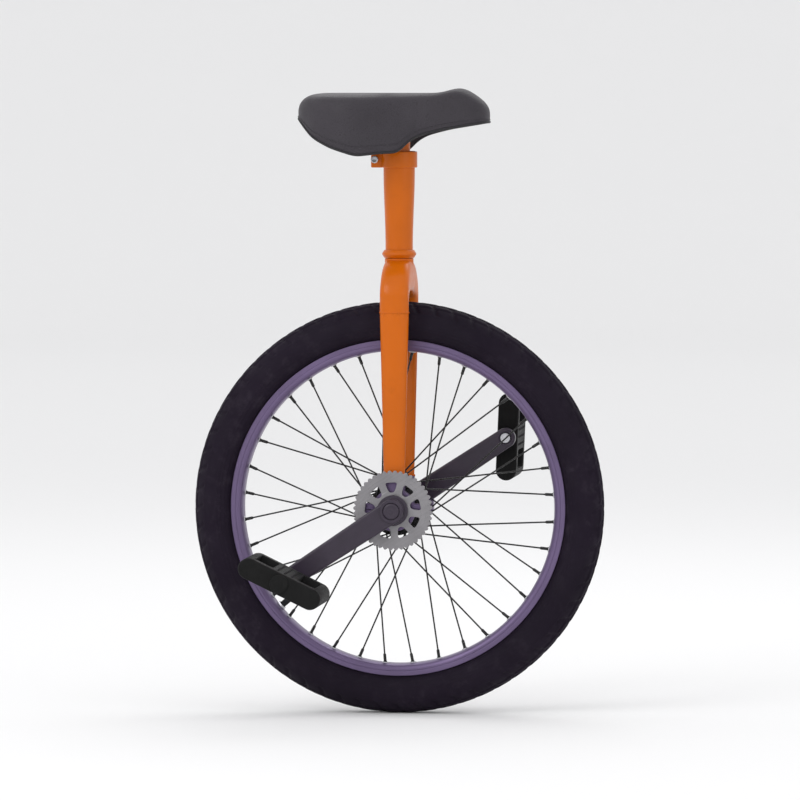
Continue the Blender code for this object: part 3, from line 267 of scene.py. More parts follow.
def pedal_plastic():
    """Black moulded plastic with a fine spark-eroded grain and scuffed edges."""
    s = Surface("pedal_plastic", Roughness=0.6, Specular_IOR_Level=0.15)
    scuffs = s.noise(1.0, 5.0, 0.7, vector=s.stretched((500.0, 90.0, 120.0)))
    base = s.mottled("pedal", 0.8, 1.25, 60.0)
    s.colour(s.worn(base, (0.52, 0.6), scuffs, 0.45, 0.65, 0.55, rgb("dust", 0.7)))
    s.roughness(scuffs, 0.5, 0.72)
    s.bump(s.cells(1500.0), 0.22, 0.0003)
    s.bump(s.noise(700.0, 3.0), 0.15, 0.0003)
    return s.material


def spoke_steel():
    """Gloss black finish on drawn wire and hub."""
    s = Surface("spoke_steel", Roughness=0.28, Metallic=0.3, Specular_IOR_Level=0.55)
    base = s.mottled("spoke", 0.8, 1.5, 120.0, 4.0)
    s.colour(s.worn(base, (0.55, 0.66), s.noise(150.0, 5.0), 0.5, 0.65, 0.4, rgb("bare", 0.4)))
    s.roughness(s.noise(400.0, 4.0), 0.2, 0.38)
    s.bump(s.noise(900.0, 2.0), 0.08, 0.0002)
    return s.material


def metal(name, colour, roughness, metallic):
    """Turned or plated metal for bolts, spindles and rings."""
    s = Surface(name, Roughness=roughness, Metallic=metallic)
    base = s.mottled(colour, 0.8, 1.12, 180.0)
    s.colour(s.blend(s.edges(0.53, 0.62), base, rgb(colour, 1.5)))
    s.roughness(s.noise(500.0, 5.0), roughness - 0.07, roughness + 0.12)
    s.bump(s.noise(1.0, 2.0, vector=s.stretched((900.0, 900.0, 3500.0))), 0.1, 0.0002)
    return s.material


def saddle_vinyl():
    """Grained grey vinyl: pebbled cells, fine creases painted darker as painted shade, a soft sheen and
    rubbed high spots.
    """
    s = Surface("saddle_vinyl", Roughness=0.52, Specular_IOR_Level=0.3, Sheen_Weight=0.03,
                Sheen_Roughness=0.45)
    crease = s.spread(s.cells(520.0, "DISTANCE_TO_EDGE"), 0.0, 0.09)
    # The grain's creases, which the bump sinks, are painted darker: painted shade in the creases.
    base = s.blend(crease, rgb("saddle", 0.62), s.mottled("saddle", 0.9, 1.12, 16.0))
    s.colour(s.blend(s.spread(s.noise(7.0, 4.0), 0.58, 0.8, 0.0, 0.22), base, rgb("saddle", 1.7)))
    s.roughness(s.noise(24.0, 5.0), 0.42, 0.62)
    s.bump(crease, 0.4, 0.0005)
    s.bump(s.noise(120.0, 5.0, 0.6), 0.15, 0.001)
    return s.material


def plastic(name, colour, roughness):
    """Plain moulded plastic or rubber with a fine grain."""
    s = Surface(name, Roughness=roughness, Specular_IOR_Level=0.4)
    s.colour(s.mottled(colour, 0.8, 1.2, 50.0))
    s.roughness(s.noise(200.0, 4.0), roughness - 0.08, roughness + 0.08)
    s.bump(s.noise(900.0, 3.0), 0.25, 0.0004)
    return s.material


def foam():
    """Open-cell foam, the pits of its pores painted darker as painted shade."""
    s = Surface("saddle_foam", Roughness=0.95, Specular_IOR_Level=0.1)
    pores = s.cells(800.0)
    # The pits of the pores, which the bump sinks, are painted darker: painted shade in the pores.
    s.colour(s.blend(s.spread(pores, 0.1, 0.6), rgb("foam", 0.55), rgb("foam")))
    s.bump(pores, 0.7, 0.0008)
    return s.material


def woven_tape():
    """Plain-woven rim tape."""
    s = Surface("rim_tape", Roughness=0.85, Specular_IOR_Level=0.2)
    weave = s.noise(1.0, 2.0, vector=s.rings(2000.0, 2000.0, 300.0))
    s.colour(s.blend(weave, rgb("tape", 0.7), rgb("tape", 1.1)))
    s.bump(weave, 0.4, 0.0003)
    return s.material


def twisted_thread():
    """Twisted sewing thread."""
    s = Surface("saddle_thread", Roughness=0.75, Specular_IOR_Level=0.3, Sheen_Weight=0.2)
    twist = s.noise(1.0, 2.0, vector=s.stretched((2600.0, 2600.0, 900.0)))
    s.colour(s.blend(twist, rgb("thread", 0.7), rgb("thread", 1.6)))
    s.bump(twist, 0.4, 0.0003)
    return s.material


MATERIALS = {
    "tyre": tyre_rubber(),
    "tube_rubber": plastic("tube_rubber", "tube", 0.75),
    "rim_tape": woven_tape(),
    "rim_metal": rim_metal(),
    "spoke_steel": spoke_steel(),
    "bright_steel": metal("bright_steel", "steel", 0.3, 0.9),
    "black_steel": metal("black_steel", "black_steel", 0.4, 0.6),
    "crank_paint": crank_paint(),
    "disc_steel": disc_steel(),
    "frame_paint": frame_paint(),
    "pedal_plastic": pedal_plastic(),
    "base_plastic": plastic("base_plastic", "base", 0.55),
    "saddle_foam": foam(),
    "saddle_vinyl": saddle_vinyl(),
    "thread": twisted_thread(),
}


def dress_cad_nodes():
    """Every CAD node that stays gets its slot's material."""
    for row in frame["record"]["subparts"]:
        mesh = frame["nodes"][row["node"]].data
        mesh.materials.clear()
        mesh.materials.append(MATERIALS[row["material_slot"]])


# ---------------------------------------------------------------- mesh helpers

WELD_DISTANCE = 0.00003
SOFT_ANGLE = math.radians(50)


def link(name, data):
    """A new object in the scene."""
    obj = bpy.data.objects.new(name, data)
    bpy.context.scene.collection.objects.link(obj)
    return obj


def baked(obj):
    """The mesh that an object's modifiers make. The object is removed."""
    graph = bpy.context.evaluated_depsgraph_get()
    mesh = bpy.data.meshes.new_from_object(obj.evaluated_get(graph))
    bpy.data.objects.remove(obj, do_unlink=True)
    return mesh


def mesh_of(name, parts):
    """One mesh from several (vertices, faces) parts."""
    vertices = []
    faces = []
    for part_vertices, part_faces in parts:
        base = len(vertices)
        vertices += [tuple(point) for point in part_vertices]
        faces += [tuple(base + i for i in face) for face in part_faces]
    mesh = bpy.data.meshes.new(name)
    mesh.from_pydata(vertices, [], faces)
    mesh.validate()
    return mesh


def finish_mesh(mesh, sharp):
    """Weld, face outward and shade smooth up to the sharp angle."""
    work = bmesh.new()
    work.from_mesh(mesh)
    bmesh.ops.remove_doubles(work, verts=work.verts, dist=WELD_DISTANCE)
    bmesh.ops.recalc_face_normals(work, faces=work.faces)
    work.to_mesh(mesh)
    work.free()
    mesh.shade_smooth()
    mesh.set_sharp_from_angle(angle=math.radians(sharp))


def piece(name, body, slot, shape, replaces=(), sharp=38.0, material=None):
    """A piece of the object, from (vertices, faces) parts or from a mesh."""
    mesh = shape if isinstance(shape, bpy.types.Mesh) else mesh_of(name, shape)
    finish_mesh(mesh, sharp)
    mesh.materials.clear()
    mesh.materials.append(MATERIALS[material or slot])
    obj = link(name, mesh)
    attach(obj, body)
    if replaces:
        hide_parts(*replaces)
    return obj


def cut(parts, cutters, soft=0.0):
    """The mesh of some parts less their cutters, its sharp edges bevelled by soft."""
    obj, tool = (link("cut_work", mesh_of("cut_work", shapes)) for shapes in (parts, cutters))
    for one in (obj, tool):
        finish_mesh(one.data, 30.0)
    boolean = obj.modifiers.new("cut", "BOOLEAN")
    boolean.operation = "DIFFERENCE"
    boolean.solver = "EXACT"
    boolean.object = tool
    if soft:
        bevel = obj.modifiers.new("soft", "BEVEL")
        bevel.width = soft
        bevel.segments = 2
        bevel.limit_method = "ANGLE"
        bevel.angle_limit = SOFT_ANGLE
    mesh = baked(obj)
    bpy.data.objects.remove(tool, do_unlink=True)
    return mesh


def grid(rows, close_rows=False, close_columns=True):
    """Quads over rows of equal length."""
    count = len(rows)
    size = len(rows[0])
    faces = []
    for r in range(count if close_rows else count - 1):
        here, after = r * size, (r + 1) % count * size
        for c in range(size if close_columns else size - 1):
            side = (c + 1) % size
            faces.append((here + c, here + side, after + side, after + c))
    return [point for row in rows for point in row], faces


def capped(rows):
    """Rings joined into a closed bar with flat ends."""
    vertices, faces = grid(rows)
    size = len(rows[0])
    return vertices, faces + [tuple(reversed(range(size))), tuple(range(len(vertices) - size, len(vertices)))]


def ring(count):
    """Cosine and sine of equal steps round a circle."""
    return [(math.cos(2 * math.pi * k / count), math.sin(2 * math.pi * k / count)) for k in range(count)]


def smoothstep(value):
    """Smooth 0 to 1."""
    t = min(max(value, 0.0), 1.0)
    return t * t * (3.0 - 2.0 * t)


def bend(start, knee, end, steps):
    """Points on a curve that leaves start towards knee and comes from knee to end."""
    spots = [k / steps for k in range(steps + 1)]
    return [start * (1 - t) ** 2 + knee * 2 * t * (1 - t) + end * t ** 2 for t in spots]


def softened(profile, radius, steps=3, closed=True):
    """Round the corners of an outline. Corners on the axis, where x is 0, stay."""
    result = []
    for i, corner in enumerate(profile):
        if abs(corner[0]) < 1e-6 or (not closed and i in (0, len(profile) - 1)):
            result.append(corner)
            continue
        here = np.array(corner)
        ways = [np.array(profile[j % len(profile)]) - here for j in (i - 1, i + 1)]
        start, end = (here + way * min(radius / np.linalg.norm(way), 0.45) for way in ways)
        result += [tuple(point) for point in bend(start, here, end, steps)]
    return result


def mirrored(half):
    """A whole section from the half of it at negative height, given from the middle round to the middle."""
    return half + [(radius, -height) for radius, height in reversed(half[1:-1])]


def turned(profile, steps, centre, outward, closed=True):
    """Revolve (radius, height) points round an axis through centre along outward."""
    axis = Vector(outward).normalized()
    one = FORWARD if abs(axis.x) < 0.5 else LEFT
    two = axis.cross(one).normalized()
    one = two.cross(axis).normalized()
    rows = []
    for c, s in ring(steps):
        direction = one * c + two * s
        rows.append([centre + direction * radius + axis * height for radius, height in profile])
    return grid(rows, close_rows=True, close_columns=closed)


def thread(radius, depth, start, end, pitch):
    """The zigzag outline of a thread that runs down from start to end."""
    profile = []
    while start > end:
        profile += [(radius, start), (radius - depth, start - pitch / 2)]
        start -= pitch
    return profile


def swept(path, radii, sides):
    """A round bar along a path, with a radius at each point and flat ends."""
    points = [np.array(point, float) for point in path]
    last = len(points) - 1
    tangents = [points[min(i + 1, last)] - points[max(i - 1, 0)] for i in range(len(points))]
    tangents = [tangent / np.linalg.norm(tangent) for tangent in tangents]
    guide = np.array(UP if abs(tangents[0][2]) < 0.8 else FORWARD)
    rows = []
    for point, tangent, radius in zip(points, tangents, radii):
        guide = guide - tangent * (guide @ tangent)
        guide = guide / np.linalg.norm(guide)
        other = np.cross(tangent, guide)
        rows.append([tuple(point + (guide * c + other * s) * radius) for c, s in ring(sides)])
    return capped(rows)


def lathe(profile, radius, count, centre, outward, steps=3, closed=True):
    """A turned part with softened corners."""
    return turned(softened(profile, radius, steps, closed), count, centre, outward, closed)


def arc(centre, radius, start, end, steps):
    """Points on an arc, angles in degrees, both ends included."""
    angles = [math.radians(start + (end - start) * i / steps) for i in range(steps + 1)]
    return [(centre[0] + radius * math.cos(a), centre[1] + radius * math.sin(a)) for a in angles]


def circle(radius, steps, centre=(0.0, 0.0)):
    """Points round a circle."""
    return arc(centre, radius, 0.0, 360.0, steps)[:-1]


def rounded_rectangle(half_x, half_y, corner, steps=4):
    """A rectangle's outline with round corners."""
    points = []
    for x, y, start in ((1, 1, 0), (-1, 1, 90), (-1, -1, 180), (1, -1, 270)):
        points += arc((x * (half_x - corner), y * (half_y - corner)), corner, start, start + 90, steps)
    return points


def plate(loops, thickness, edge, origin, across, up, steps=2):
    """A flat plate with rounded edges. Outline x runs along across and y along up."""
    curve = bpy.data.curves.new("plate_outline", "CURVE")
    curve.dimensions = "2D"
    curve.fill_mode = "BOTH"
    curve.extrude = thickness / 2 - edge
    curve.bevel_depth = edge
    curve.bevel_resolution = steps
    curve.offset = -edge
    for loop in loops:
        spline = curve.splines.new("POLY")
        spline.points.add(len(loop) - 1)
        for point, (x, y) in zip(spline.points, loop):
            point.co = (x, y, 0.0, 1.0)
        spline.use_cyclic_u = True
    mesh = baked(link("plate_outline", curve))
    bpy.data.curves.remove(curve)
    one, two = Vector(across).normalized(), Vector(up).normalized()
    three = one.cross(two)
    vertices = [Vector(origin) + one * v.co.x + two * v.co.y + three * v.co.z for v in mesh.vertices]
    faces = [tuple(face.vertices) for face in mesh.polygons]
    bpy.data.meshes.remove(mesh)
    return vertices, faces


def in_plane(angle):
    """Unit vector at an angle in the wheel's plane."""
    return Vector((math.cos(angle), 0.0, math.sin(angle)))


def wheel_point(radius, angle, y):
    """A point of the wheel."""
    return AXLE + in_plane(angle) * radius + LEFT * y


# ---------------------------------------------------------------- tyre and rim

RIM_DEPTH = 0.015
RIM_WELL_DEPTH = 0.0105
BEAD_SEAT_DEPTH = 0.0065
RIM_WALL = 0.0014
TYRE_SECTION = 0.027
TYRE_WALL = 0.0045
TREAD_PITCHES = 64
TREAD_SAMPLES = 12
TREAD_DEPTH = 0.0016
TREAD_EDGE = math.radians(62)
TREAD_FADE = 0.08
GROOVE_LINES = (0.0052, 0.0150)
SIDEWALL_RIBS = (96.0, 104.0, 116.0)


def fall(value, start, width):
    """Smooth 1 to 0, from start over width."""
    return 1.0 - smoothstep((value - start) / width)


def tread_depth(across, phase):
    """Depth of the tread's grooves at an arc position across the crown and a phase round it."""
    side = abs(across)
    groove = max(fall(abs(side - line), 0.0010, 0.0007) for line in GROOVE_LINES)
    slant = (phase + 22.0 * side) % 1.0
    slot = fall(abs(slant - 0.5), 0.075, 0.06)
    shoulder = smoothstep((side - 0.0056) / 0.0008) * fall(side, 0.0265, 0.0012)
    notch = (phase + 0.5) % 1.0
    nick = fall(abs(notch - 0.5), 0.05, 0.05) * fall(side, 0.0022, 0.0008)
    return TREAD_DEPTH * max(groove, slot * shoulder, nick * 0.6)


def tyre_reach(degrees, phase):
    """Distance of the tyre's outside from the middle of its section."""
    angle = math.radians(degrees)
    if abs(angle) < TREAD_EDGE:
        fade = fall(abs(angle), TREAD_EDGE - TREAD_FADE, TREAD_FADE)
        return TYRE_SECTION - tread_depth(angle * TYRE_SECTION, phase) * fade
    reach = TYRE_SECTION - 0.0005 * smoothstep((abs(angle) - TREAD_EDGE) / 0.05)
    for rib in SIDEWALL_RIBS:
        off = (abs(degrees) - rib) / 2.0
        reach += 0.00045 * math.exp(-off * off)
    return reach


def build_tyre():
    """Tyre with a grooved tread, ribbed sidewalls and beads inside the rim."""
    centre_radius = TYRE_RADIUS - TYRE_SECTION
    inner = TYRE_SECTION - TYRE_WALL
    edge = RIM_RADIUS + 0.0008
    bead = RIM_HALF - RIM_WALL - 0.0003
    seat = RIM_RADIUS - BEAD_SEAT_DEPTH + 0.0006
    foot = [(edge, RIM_HALF), (edge, bead), (seat, bead), (seat, bead - 0.0043)]
    foot.append((RIM_RADIUS + 0.0005, bead - 0.0061))
    inside = []
    for angle in np.radians(np.linspace(112.0, -112.0, 22)):
        inside.append((centre_radius + (inner - 0.001) * math.cos(angle), inner * math.sin(angle)))
    lower = foot + inside + [(radius, -y) for radius, y in reversed(foot)]
    turns = TREAD_PITCHES * TREAD_SAMPLES
    rows = []
    for k in range(turns):
        row = []
        for degrees in np.linspace(-125.0, 125.0, 97):
            reach = tyre_reach(degrees, k / TREAD_SAMPLES)
            angle = math.radians(degrees)
            row.append((centre_radius + reach * math.cos(angle), reach * math.sin(angle)))
        rows.append([wheel_point(radius, 2 * math.pi * k / turns, y) for radius, y in row + lower])
    piece("tyre_tread", "wheel", "tyre", [grid(rows, close_rows=True)], ["tyre"], sharp=50.0)


def build_rim():
    """Rim section with hooked edges and turned grooves, an eyelet round every nipple."""
    outer = RIM_RADIUS
    seat = outer - BEAD_SEAT_DEPTH
    well = outer - RIM_WELL_DEPTH
    inner = outer - RIM_DEPTH
    flange = RIM_HALF - RIM_WALL
    half = [(well, 0.0), (well, -0.0085), (seat, -0.0100), (seat, -flange), (outer - 0.0016, -flange),
            (outer - 0.0006, -flange + 0.0004), (outer, -flange - 0.0004), (outer - 0.0006, -RIM_HALF),
            (outer - 0.0060, -RIM_HALF), (outer - 0.0064, -RIM_HALF + 0.0005), (outer - 0.0068, -RIM_HALF),
            (outer - 0.0092, -RIM_HALF), (inner + 0.0022, -0.0150), (inner + 0.0006, -0.0110),
            (inner, -0.0070), (inner, 0.0)]
    piece("rim_hoop", "wheel", "rim_metal", [lathe(mirrored(half), 0.0009, 180, AXLE, LEFT)], ["rim"])
    outline = [(0.0024, 0.0010), (0.0040, 0.0010), (0.0044, -0.0002), (0.0024, -0.0002)]
    eyelets = []
    for label, side in SIDES.items():
        for angle in spoke_angles(label):
            place = wheel_point(inner, angle, side * SPOKE_RIM_OFFSET)
            eyelets.append(lathe(outline, 0.0004, 20, place, -in_plane(angle), 2))
    piece("rim_eyelets", "wheel", "bright_steel", eyelets)


def build_valve():
    """Threaded valve stem with its rim nut and cap."""
    points = np.array([v.co for v in frame["nodes"]["valve"].data.vertices])
    centre = Vector(points.mean(axis=0))
    angle = math.atan2(centre.z - AXLE.z, centre.x - AXLE.x)
    outward = in_plane(angle)
    stem = [(0.0, 0.2085), (0.0062, 0.2085), (0.0062, 0.2050), (0.0041, 0.2025), (0.0041, 0.1945)]
    stem += thread(0.0041, 0.0004, 0.1945, 0.1765, 0.0008) + [(0.0035, 0.1761), (0.0, 0.1761)]
    stem = turned(stem, 28, AXLE, outward, closed=False)
    cap = [(0.0, 0.1640), (0.0026, 0.1640), (0.0042, 0.1655), (0.0042, 0.1755), (0.0038, 0.1765),
           (0.0, 0.1765)]
    cap = lathe(cap, 0.0006, 28, AXLE, outward, closed=False)
    place = wheel_point(RIM_RADIUS - RIM_DEPTH - 0.0018, angle, 0.0)
    round_wheel = in_plane(angle + math.pi / 2)
    nut = plate([circle(0.0068, 6), circle(0.0043, 24)], 0.0030, 0.0005, place, LEFT, round_wheel)
    piece("valve_stem", "wheel", "tube_rubber", [stem], ["valve"])
    piece("valve_cap", "wheel", "pedal_plastic", [cap])
    piece("valve_nut", "wheel", "bright_steel", [nut])


# ---------------------------------------------------------------- spokes and hub

SPOKES_PER_SIDE = 18
SPOKE_PITCH = 2 * math.pi / SPOKES_PER_SIDE
SPOKE_CROSSES = 3
SPOKE_RADIUS = 0.001
SPOKE_HEAD_RADIUS = 0.0019
SPOKE_CIRCLE = 0.029
SPOKE_RIM_OFFSET = 0.003
FIRST_SPOKE = {"right": math.radians(5), "left": math.radians(15)}
# For a spoke that leads (1) or trails (-1): distance out from the wheel's middle, and its head's
# depth below the end of the hub
SPOKE_LEVEL = {1: 0.0297, -1: 0.0365}
SPOKE_HEAD_DEPTH = {1: 0.0002, -1: 0.0062}
CROSSING_TURN = math.radians(50.0)
CROSSING_GAP = 0.00105
ELBOW_REACH = 0.0022
SWAY_REACH = 0.006
# Nipple: distance from its seat in the rim, and radius
NIPPLE = [(0.0124, SPOKE_RADIUS), (0.0120, 0.0014), (0.0108, 0.0019), (0.0030, 0.0019), (0.0026, 0.0023),
          (0.0, 0.0023)]


def spoke_angles(label):
    """Angle of each spoke hole on one side."""
    return [FIRST_SPOKE[label] + SPOKE_PITCH * i for i in range(SPOKES_PER_SIDE)]


def spoke_path(side, hub_angle, direction):
    """Points and radii of one spoke: head, elbow, outermost crossing and nipple."""
    span = SPOKE_CROSSES * SPOKE_PITCH
    rim_radius = RIM_RADIUS - RIM_DEPTH + 0.0006
    tangent = math.tan(CROSSING_TURN)
    share = SPOKE_CIRCLE * tangent / (
        rim_radius * math.sin(span) - (rim_radius * math.cos(span) - SPOKE_CIRCLE) * tangent)
    hub = wheel_point(SPOKE_CIRCLE, hub_angle, side * SPOKE_LEVEL[direction])
    rim = wheel_point(rim_radius, hub_angle + direction * span, side * SPOKE_RIM_OFFSET)
    head = wheel_point(SPOKE_CIRCLE, hub_angle, side * (HUB_HALF - SPOKE_HEAD_DEPTH[direction]))
    levels = [level + (SPOKE_RIM_OFFSET - level) * share for level in SPOKE_LEVEL.values()]
    crossing = hub.lerp(rim, share)
    crossing.y = side * (sum(levels) / 2 + direction * CROSSING_GAP)
    out = (crossing - hub).normalized()
    back = (head - hub).normalized()
    before = (hub - crossing).normalized()
    after = (rim - crossing).normalized()
    path = [head, head.lerp(hub, 0.12), head.lerp(hub, 0.16)]
    path += bend(hub + back * ELBOW_REACH, hub, hub + out * ELBOW_REACH, 5)
    path += bend(crossing + before * SWAY_REACH, crossing, crossing + after * SWAY_REACH, 4)
    radii = [SPOKE_HEAD_RADIUS] * 2 + [SPOKE_RADIUS] * (len(path) - 2)
    for reach, radius in NIPPLE:
        path.append(rim - after * reach)
        radii.append(radius)
    return path, radii


def build_spokes():
    """Every spoke of each side, laced three cross, with its nipple."""
    for label, side in SIDES.items():
        bars = []
        for i, angle in enumerate(spoke_angles(label)):
            path, radii = spoke_path(side, angle, 1 if i % 2 == 0 else -1)
            bars.append(swept(path, radii, 12))
        piece(f"spoke_set_{label}", "wheel", "spoke_steel", bars, [f"spokes_{label}"])


def build_hub():
    """Hub shell with fine flanges, barrel grooves and end lips."""
    half = [(0.0165, 0.0), (0.0165, -0.0085), (0.0160, -0.0090), (0.0160, -0.0105), (0.0165, -0.0110),
            (0.0168, -0.0230), (0.0205, -0.0300), (0.0260, -0.0312), (FLANGE_RADIUS, -0.0316),
            (FLANGE_RADIUS, -0.0344), (0.0240, -0.0346), (0.0190, -0.0350), (0.0150, -HUB_HALF),
            (0.0089, -HUB_HALF), (0.0089, 0.0)]
    shell = lathe(mirrored(half), 0.0006, 96, AXLE, LEFT)
    piece("hub_barrel", "wheel", "spoke_steel", [shell], ["hub_shell"])


BEARING_WIDTH = 0.012


def build_bearings():
    """The outer rings of the bearings with their shields, and the inner rings."""
    for label, side in SIDES.items():
        node = f"bearing_outer_ring_{label}"
        near = min(abs(low(node).y), abs(high(node).y))
        far = near + BEARING_WIDTH
        outer = [(0.0200, far), (0.0200, near), (0.0168, near), (0.0162, near + 0.0005),
                 (0.0125, near + 0.0005), (0.0125, near + 0.0010), (0.0165, near + 0.0012),
                 (0.0165, far - 0.0012), (0.0125, far - 0.0010), (0.0125, far - 0.0005),
                 (0.0162, far - 0.0005), (0.0168, far)]
        inner = [(0.0118, far), (0.0118, near), (0.0089, near), (0.0089, far)]
        rings = (("shell", "frame", "outer", outer), ("core", "wheel", "inner", inner))
        for name, body, place, profile in rings:
            shape = lathe(profile, 0.0004, 64, AXLE, LEFT * side, 2)
            piece(f"bearing_{name}_{label}", body, "bright_steel", [shape], [f"bearing_{place}_ring_{label}"])


# ---------------------------------------------------------------- cranks, disc and pedals

CRANK_INNER = 0.069
CRANK_OUTER = 0.082
BOSS_INNER = 0.060
BOSS_OUTER = 0.084
BOSS_RADIUS = 0.015
EYE_RADIUS = 0.0125
DISC_SEAT = 0.0658


def crank_outline():
    """Two round ends joined by their tangents, the boss at the origin and the eye along +x."""
    lean = math.degrees(math.asin((BOSS_RADIUS - EYE_RADIUS) / CRANK_LENGTH))
    return (arc((0.0, 0.0), BOSS_RADIUS, 90 - lean, 270 + lean, 24)
            + arc((CRANK_LENGTH, 0.0), EYE_RADIUS, lean - 90, 90 - lean, 24))


def build_cranks():
    """Rounded crank arms, each with its turned boss and its cap."""
    for label, side in SIDES.items():
        out = LEFT * side
        across = in_plane(CRANK_ANGLE[label])
        origin = AXLE + out * (CRANK_INNER + CRANK_OUTER) / 2
        loops = [crank_outline(), circle(0.0092, 40), circle(0.0068, 32, (CRANK_LENGTH, 0.0))]
        arm = plate(loops, CRANK_OUTER - CRANK_INNER, 0.0028, origin, across, out.cross(across), 4)
        core = [(0.0095, BOSS_INNER), (0.0095, 0.0765), (0.0105, 0.0765), (0.0105, BOSS_OUTER),
                (0.0145, BOSS_OUTER)]
        if label == "right":
            shoulder = CRANK_INNER + 0.0008
            core += [(0.0145, shoulder), (0.0190, shoulder), (0.0190, DISC_SEAT), (0.0145, DISC_SEAT)]
        core.append((0.0145, BOSS_INNER))
        boss = lathe(core, 0.0008, 72, AXLE, out)
        piece(f"crank_arm_{label}", "wheel", "crank_paint", [arm, boss], [f"crank_{label}"])
        cap = [(0.0, 0.0852), (0.0035, 0.0852), (0.0038, 0.0849), (0.0080, 0.0849), (0.0100, 0.0838),
               (0.0100, 0.0826), (0.0, 0.0826)]
        cap = lathe(cap, 0.0005, 64, AXLE, out, closed=False)
        piece(f"dust_cap_{label}", "wheel", "crank_paint", [cap], [f"crank_cap_{label}"])


DISC_TEETH = 44
TOOTH_STEPS = 8
DISC_TIP = half_size("toothed_disc").z
DISC_ROOT = DISC_TIP - 0.0030
DISC_WINDOWS = 9
WINDOW_INNER = 0.0225
WINDOW_OUTER = 0.0355


def disc_loops():
    """Rounded teeth, the bore, and nine windows with round corners."""
    teeth = []
    for i in range(DISC_TEETH * TOOTH_STEPS):
        wave = 0.5 + 0.5 * math.cos(2 * math.pi * i / TOOTH_STEPS)
        radius = DISC_ROOT + (DISC_TIP - DISC_ROOT) * wave ** 0.55
        angle = 2 * math.pi * (i / TOOTH_STEPS + 0.5) / DISC_TEETH
        teeth.append((radius * math.cos(angle), radius * math.sin(angle)))
    loops = [teeth, circle(0.0151, 64)]
    for i in range(DISC_WINDOWS):
        turn = 360.0 * i / DISC_WINDOWS
        corners = (arc((0.0, 0.0), WINDOW_INNER, turn - 8.5, turn + 8.5, 1)
                   + arc((0.0, 0.0), WINDOW_OUTER, turn + 13.0, turn - 13.0, 1))
        loops.append(softened(corners, 0.0042, 7))
    return loops


def build_disc():
    """Toothed disc and its lock ring."""
    across = in_plane(CRANK_ANGLE["right"])
    origin = (AXLE.x, middle("toothed_disc").y, AXLE.z)
    disc = plate(disc_loops(), 0.0030, 0.0004, origin, across, (-LEFT).cross(across))
    piece("disc_ring", "wheel", "disc_steel", [disc], ["toothed_disc"])
    lock = [(0.0180, 0.0622), (0.0180, 0.0603), (0.0151, 0.0603), (0.0151, 0.0622)]
    piece("lock_ring", "wheel", "black_steel", [lathe(lock, 0.0004, 64, AXLE, -LEFT, 2)], ["disc_lock_ring"])


PEDAL_TILT = {"right": math.radians(-26.0), "left": math.radians(87.5)}
PEDAL_LENGTH = 0.110
PEDAL_THICKNESS = 0.026
PEDAL_INNER = 0.094
PEDAL_OUTER = 0.186
# Start and end of a window from the spindle, and half its width
PEDAL_WINDOW = (0.0165, 0.0405, 0.032)


def pedal_block(label, place, across, up, out):
    """Platform body: a round-ended bar with a window at each side of the spindle."""
    half = PEDAL_LENGTH / 2 - PEDAL_THICKNESS / 2
    outline = (arc((half, 0.0), PEDAL_THICKNESS / 2, -90, 90, 20)
               + arc((-half, 0.0), PEDAL_THICKNESS / 2, 90, 270, 20))
    block = plate([outline, circle(0.0095, 40)], PEDAL_OUTER - PEDAL_INNER, 0.0022, place, across, up, 4)
    start, end, reach = PEDAL_WINDOW
    window = rounded_rectangle((end - start) / 2, reach, 0.004, 5)
    cutters = []
    for sign in (-1, 1):
        centre = place + across * sign * (start + end) / 2
        cutters.append(plate([window], PEDAL_THICKNESS + 0.010, 0.0001, centre, across, out, 1))
    mesh = cut([block], cutters, soft=0.0006)
    piece(f"pedal_block_{label}", f"pedal_{label}", "pedal_plastic", mesh, [f"pedal_body_{label}"],
          sharp=35.0)


def pedal_studs(label, place, across, up, out):
    """Short grip studs moulded along both treads."""
    profile = [(0.0, 0.0009), (0.0014, 0.0009), (0.0020, -0.0006), (0.0, -0.0006)]
    studs = []
    for tread in (up * -1, up * 1):
        for x in (-0.0095, 0.0, 0.0095):
            for k in range(7):
                foot = place + across * x + out * (-0.033 + 0.011 * k) + tread * PEDAL_THICKNESS / 2
                studs.append(lathe(profile, 0.0004, 12, foot, tread, 2, closed=False))
    piece(f"pedal_studs_{label}", f"pedal_{label}", "pedal_plastic", studs)


def build_pedals():
    """Pedal blocks, end caps and the spindles on the cranks."""
    for label, side in SIDES.items():
        out = LEFT * side
        across = in_plane(PEDAL_TILT[label])
        base = PEDAL_PLACE[label].copy()
        base.y = 0.0
        place = base + out * (PEDAL_INNER + PEDAL_OUTER) / 2
        pedal_block(label, place, across, out.cross(across), out)
        pedal_studs(label, place, across, out.cross(across), out)
        cap = [(0.0, 0.1885), (0.0045, 0.1885), (0.0050, 0.1881), (0.0100, 0.1880), (0.0115, 0.1872),
               (0.0115, 0.1863), (0.0091, 0.1863), (0.0091, 0.1795), (0.0, 0.1795)]
        cap = lathe(cap, 0.0004, 48, base, out, closed=False)
        piece(f"pedal_cap_{label}", f"pedal_{label}", "pedal_plastic", [cap], [f"pedal_end_cap_{label}"])
        spindle = [(0.0, 0.1760), (0.0045, 0.1760), (0.0045, 0.1670), (0.0060, 0.1670), (0.0060, 0.0900),
                   (0.0072, 0.0885), (0.0072, 0.0868), (0.0085, 0.0865), (0.0085, 0.0823), (0.0066, 0.0823)]
        spindle += thread(0.0067, 0.0004, 0.0820, 0.0705, 0.0010) + [(0.0060, 0.0695), (0.0, 0.0695)]
        spindle = turned(spindle, 40, base, out, closed=False)
        piece(f"pedal_axle_{label}", "wheel", "bright_steel", [spindle], [f"pedal_spindle_{label}"])


# ---------------------------------------------------------------- frame

LEG_TOP_HALF = (0.0180, 0.0110)
LEG_BOTTOM_HALF = (0.0130, 0.0080)
LEG_WALL = 0.0016
LEG_STATIONS = 24
OVAL_SIDES = 64
BEAD_STEPS = 240
BEAD_RIPPLES = 44
CROWN_HEAD_HALF = 0.021


